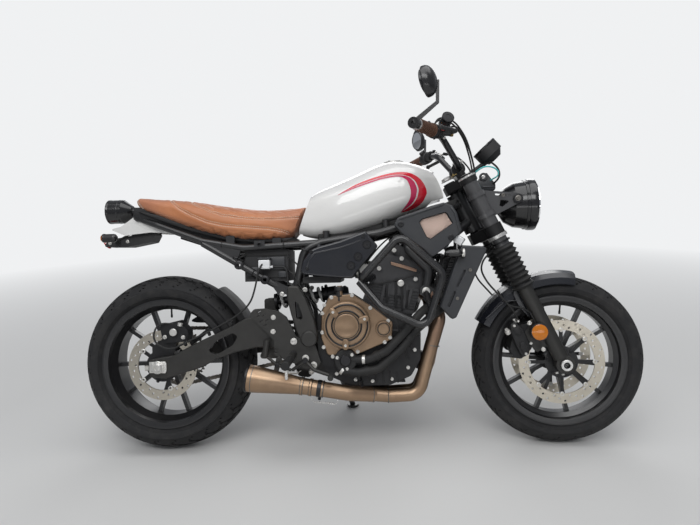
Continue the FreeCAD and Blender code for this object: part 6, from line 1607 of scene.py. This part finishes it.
def dress_rests():
    heel = [(408, -162, 482, 6.4), (406, -162, 434, 6.4), (477, -170, 400, 8.6), (516, -170, 343, 8.6),
            (542, -162, 318, 8.6), (383, -172, 384, 4.6)]
    bolts = [socket_screw(size, size * 0.9, (x, y, z), OUT_RIGHT) for x, y, z, size in heel]
    bolts.append(hex_bolt(8.0, 7.5, (528, -111, 286), OUT_RIGHT))
    set_down(joined(bolts), "heel_plate_screws", "screw_zinc")
    left = screw_row(socket_screw, 6.0, 5.5, 160, [(500, 345), (462, 450), (458, 482), (530, 318)])
    set_down(left, "left_plate_screws", "screw_zinc")
    ribs = []
    for i in range(11):
        spot = Vector((471.6 - i * 0.25, -226 - i * 8.0, 349 - i * 0.5))
        ribs.append(hoop([(10.0, -2.6), (13.0, -2.0), (13.4, 0), (13.0, 2.0), (10.0, 2.6)], spot,
                         (0.03, 1, 0.06), 22))
    ribs.append(lathe([(13.5, 0), (14.6, 1.5), (14.6, 5), (12, 7), (2, 7.4)], (470, -313, 344),
                      (-0.03, -1, -0.05), 28))
    rubbers = [hoop([(7.0, -3.0), (9.6, -2.4), (9.6, 2.4), (7.0, 3.0)], (604, y, 290), OUT_RIGHT, 20)
               for y in range(-244, -194, 10)]
    set_down(both_sides(joined(ribs)), "peg_rubbers", "rubber_black")
    set_down(joined(rubbers), "pedal_rubber", "rubber_black")
    tip = lathe([(8, 0), (9, 2), (9, 6), (5, 8), (5, 42), (4, 45), (2, 46)], (472, -310, 346), DOWN, 20)
    set_down(both_sides(tip), "peg_feelers", "steel_bright")
    pivots = [hex_bolt(8.5, 8.0, (515, -180, 336), OUT_RIGHT), hex_bolt(6.0, 6.0, (420, -176, 322), OUT_RIGHT),
              hex_bolt(8.0, 8.0, (474, -168, 358), OUT_RIGHT)]
    set_down(joined(pivots), "pedal_pivot_bolts", "screw_black")
    turns = coil((446, -174, 296), (0.42, 0, 0), OUT_LEFT, UP, 5.2, 8, 105)
    spring = pipe([(436, -172, 296), (442, -172, 296)] + turns + [(494, -172, 298), (500, -172, 302)], 1.1, 1)
    set_down(spring, "pedal_spring", "screw_zinc")


def dress_swingarm():
    block_screws = [hex_bolt(9.0, 16, (-34, y, z), BACK) for y, z in ((-130, 312), (132, 316))]
    plates = [brick((58, 34, 4), (-4, -143, 314), OUT_RIGHT, 1.6),
              brick((58, 34, 4), (-4, 143, 316), OUT_LEFT, 1.6)]
    set_down(joined(block_screws), "chain_adjusters", "screw_zinc")
    set_down(joined(plates), "adjuster_plates", "screw_black")
    nut = lathe([(21, 147), (21, 149), (17, 149.6), (17, 162), (15, 164), (8, 164), (7.4, 160)],
                REAR_HUB, OUT_RIGHT, 6)
    big = lathe([(22, 146), (22, 150.5), (20, 151.5)], REAR_HUB, OUT_RIGHT, 40)
    set_down(joined([nut, big]), "rear_axle_nut", "screw_zinc")
    cap = lathe([(22, 112), (22, 116), (20, 118), (8, 118), (7, 114)], (490, 0, 375), OUT_RIGHT, 36)
    set_down(both_sides(cap), "pivot_caps", "screw_black")
    guides = [hoop([(7.0, -4), (8.6, -3.4), (8.6, 3.4), (7.0, 4)], (x, -128, z), (0.92, 0, 0.38), 20)
              for x, z in ((92, 394), (176, 428), (256, 462))]
    set_down(joined(guides), "brake_line_clips", "plastic_black")
    slider = slab([(352, 392), (440, 394), (458, 380), (452, 372), (430, 384), (352, 382)], 82, 104, 2.0)
    set_down(slider, "chain_slider", "plastic_black")
    guard = [socket_screw(4.4, 5.0, (341, 126, 440), OUT_LEFT), socket_screw(4.4, 5.0, (100, 120, 452), OUT_LEFT),
             socket_screw(4.4, 5.0, (284, -128, 460), OUT_RIGHT)]
    set_down(joined(guard), "chain_guard_screws", "screw_zinc")
    caliper = [socket_screw(5.4, 7.0, (88, -139, 418), OUT_RIGHT),
               socket_screw(5.4, 7.0, (24, -139, 420), OUT_RIGHT),
               lathe([(13, 0), (13, 4), (11, 5.5), (4, 5.5)], (54, -139, 436), OUT_RIGHT, 30),
               lathe([(8.5, -5), (8.5, 5), (7.6, 5.6)], (76, -132, 462), (0.3, 0, 1), 22)]
    set_down(joined(caliper), "rear_caliper_screws", "screw_zinc")
    spring_ends = [lathe([(29, -3), (30.5, -2), (30.5, 2), (29, 3)], place, SHOCK_AXIS, 44)
                   for place in ((398, 0, 528), (566, 0, 550.4))]
    knob = lathe([(31.5, -5), (33.5, -4), (33.5, 4), (31.5, 5)], (580, 0, 552.3), SHOCK_AXIS, 12)
    set_down(joined(spring_ends + [knob]), "spring_seats", "screw_black")
    bars = screws(hex_bolt, 8.5, 7.5, [(927, -172, 536), (1010, -150, 790)], OUT_RIGHT)
    set_down(both_sides(bars), "guard_bar_bolts", "screw_black")
    pivot, foot = Vector((600, 132, 262)), Vector((560, 158, 190))
    side, run = Vector((0.3, 0.85, 0.15)).normalized(), (foot - pivot).normalized()
    turns = coil(pivot + (side + run) * 22, run * 0.62, side, run.cross(side), 5, 8, 97)
    set_down(pipe(turns, 1.2, 1), "stand_spring", "screw_zinc", "stand")
    bolt = hex_bolt(11, 9, pivot + Vector((0, 16, 2)), (0.0, 0.97, 0.24))
    set_down(bolt, "stand_pivot_bolt", "screw_zinc", "stand")


def dress_tail():
    lens = lathe([(37.6, 222.5), (37.6, 226), (34, 230), (22, 233), (6, 234)], TAIL_LAMP_MIDDLE, BACK, 64)
    rings = [hoop([(radius - 1.3, 229 + rise), (radius, 234.5 + rise * 0.4), (radius + 1.3, 229 + rise)],
                  TAIL_LAMP_MIDDLE, BACK, 64) for radius, rise in ((32, -2), (25, 0), (18, 1), (11, 1.5))]
    set_down(joined([lens] + rings), "tail_lens", "red_lens", smooth=50)
    rim = hoop([(37, 224), (38.2, 229), (41, 230.5), (44.6, 229), (44.8, 222), (43, 219)],
               TAIL_LAMP_MIDDLE, BACK, 72)
    seam = hoop([(43.6, 186), (44.6, 187), (44.6, 189.6), (43.6, 190.6)], TAIL_LAMP_MIDDLE, BACK, 72)
    set_down(joined([rim, seam]), "tail_lamp_rim", "lamp_black", smooth=50)
    lamps = lathe([(13.4, 1), (13.4, 4), (11, 8), (5, 9.4)], REAR_TURN_LAMP, BACK, 32)
    set_down(both_sides(lamps), "rear_lamp_lenses", "amber_lens", smooth=50)
    rims = hoop([(13.2, -4), (15.6, -4), (16.2, -1), (15.6, 2.4), (13.8, 2.4)], REAR_TURN_LAMP, BACK, 36)
    tips = lathe([(14.8, 0), (13.8, 5), (9, 10), (3, 12)], (-166, -104, 771), AHEAD, 32)
    set_down(both_sides(joined([rims, tips])), "rear_lamp_rims", "lamp_black", smooth=50)
    boots = lathe([(10.5, 0), (10.5, 4), (8.5, 6), (8.5, 13)], (-186, -34, 762.5), (0, -1, 0.13), 22)
    set_down(both_sides(boots), "rear_lamp_boots", "rubber_black")
    front = hoop([(12.2, -1), (13.9, -1), (14.4, 2), (13.6, 5), (12.4, 5)], (1046, -208, 684), AHEAD, 32)
    set_down(both_sides(front), "front_lamp_rims", "screw_zinc")
    plate = [hex_bolt(6.0, 5.5, (-80, -34, 800), OUT_RIGHT), hex_bolt(6.0, 5.5, (-112, -34, 818), OUT_RIGHT),
             hex_bolt(5.0, 5.0, (-150, -34, 762), OUT_RIGHT), hex_bolt(5.0, 5.0, (-216, -34, 757), OUT_RIGHT)]
    set_down(both_sides(joined(plate)), "plate_bracket_bolts", "screw_zinc")
    lead = [(-190, -36, 760), (-170, -40, 776), (-128, -38, 790), (-100, -34, 806), (-70, -30, 820)]
    set_down(both_sides(pipe(lead, 2.6)), "lamp_leads", "rubber_black")
    reflector = lathe([(19, 0), (19, 3), (17, 4.5), (6, 5)], (-241, 0, 757), (-0.85, 0, -0.5), 40)
    set_down(reflector, "rear_reflector", "red_lens")


# ---- light, floor and camera ----

# The photograph's camera, fitted to the wheels: its place over the upright motorcycle in metres, its lens in
# millimetres and its turns in degrees.
EYE, LENS = (0.7358, -1.9425, 0.6352), 27.05
CAMERA_TURNS = ((2.008, "Z"), (0.872, "X"), (1.405, "Y"), (90, "X"))
BACKDROP = (0.87, 0.88, 0.89, 1.0)


def aim_camera():
    camera = put_in("camera", bpy.data.cameras.new("camera"))
    camera.data.lens = LENS
    camera.data.sensor_width = 36.0
    place = PARKED @ Matrix.Translation(EYE)
    for angle, axis in CAMERA_TURNS:
        place = place @ Matrix.Rotation(radians(angle), 4, axis)
    camera.matrix_world = place
    bpy.context.scene.camera = camera


def soft_light(name, place, size, power, target=(0.0, -0.1, 0.5)):
    lamp = bpy.data.lights.new(name, "AREA")
    lamp.shape = "RECTANGLE"
    lamp.size, lamp.size_y = size
    lamp.energy = power
    holder = put_in(name, lamp)
    holder.location = place
    holder.rotation_euler = (Vector(target) - Vector(place)).to_track_quat("-Z", "Y").to_euler()


def light_the_studio():
    soft_light("sky_panel", (0.2, -0.6, 3.6), (4.5, 2.4), 62.0)
    soft_light("front_panel", (-0.5, -3.5, 3.7), (4.4, 1.5), 92.0)
    soft_light("edge_strip", (0.3, -3.6, 0.55), (3.6, 0.30), 9.0)
    soft_light("left_panel", (0.4, 3.8, 2.2), (3.5, 2.0), 48.0)
    world = bpy.data.worlds.new("studio")
    bpy.context.scene.world = world
    world.use_nodes = True
    tree = world.node_tree
    seen = tree.nodes.new("ShaderNodeLightPath")
    plain = tree.nodes["Background"]
    plain.inputs["Color"].default_value = (0.90, 0.93, 1.0, 1.0)
    plain.inputs["Strength"].default_value = 0.30
    pale = tree.nodes.new("ShaderNodeBackground")
    pale.inputs["Color"].default_value = BACKDROP
    pale.inputs["Strength"].default_value = 1.0
    mix = tree.nodes.new("ShaderNodeMixShader")
    either = tree.nodes.new("ShaderNodeMath")
    either.operation = "MAXIMUM"
    tree.links.new(seen.outputs["Is Camera Ray"], either.inputs[0])
    tree.links.new(seen.outputs["Is Transmission Ray"], either.inputs[1])
    tree.links.new(either.outputs[0], mix.inputs[0])
    tree.links.new(plain.outputs[0], mix.inputs[1])
    tree.links.new(pale.outputs[0], mix.inputs[2])
    tree.links.new(mix.outputs[0], tree.nodes["World Output"].inputs["Surface"])


def lay_the_floor():
    deselect()
    bpy.ops.mesh.primitive_circle_add(vertices=64, radius=40.0, fill_type="NGON", location=(0, 0, -0.0012))
    floor = bpy.context.object
    floor.name = "studio_floor"
    bpy.ops.object.transform_apply(location=True)
    ground = Finish("pale_floor", (0.62, 0.62, 0.61), 0.85)
    far = ground.between(ground.node("VectorMath", {0: ground.place()}, operation="LENGTH").outputs["Value"], 1.6,
                         5.5)
    seen = ground.node("LightPath").outputs["Is Camera Ray"]
    glow = ground.node("Emission", {"Color": BACKDROP, "Strength": 1.0})
    blend = ground.node("MixShader", {0: ground.sum("MULTIPLY", far, seen), 1: ground.shader.outputs[0],
                                      2: glow.outputs[0]})
    ground.tree.links.new(blend.outputs[0], ground.tree.nodes["Material Output"].inputs["Surface"])
    floor.data.materials.append(ground.material)


deselect()
finish_the_solids()
aim_camera()
make_seat()
dress_tank()
make_tyres()
dress_wheels()
make_chain()
dress_clutch_cover()
dress_crankcase()
dress_cylinders()
dress_exhaust()
dress_cooling()
dress_scoops()
dress_side_covers()
dress_fork()
dress_front_calipers()
dress_headlight()
dress_gauge()
dress_bar_ends()
dress_switches()
dress_mirrors()
dress_frame()
dress_rests()
dress_swingarm()
dress_tail()
lay_the_floor()
light_the_studio()
bpy.context.scene.view_settings.view_transform = "Standard"
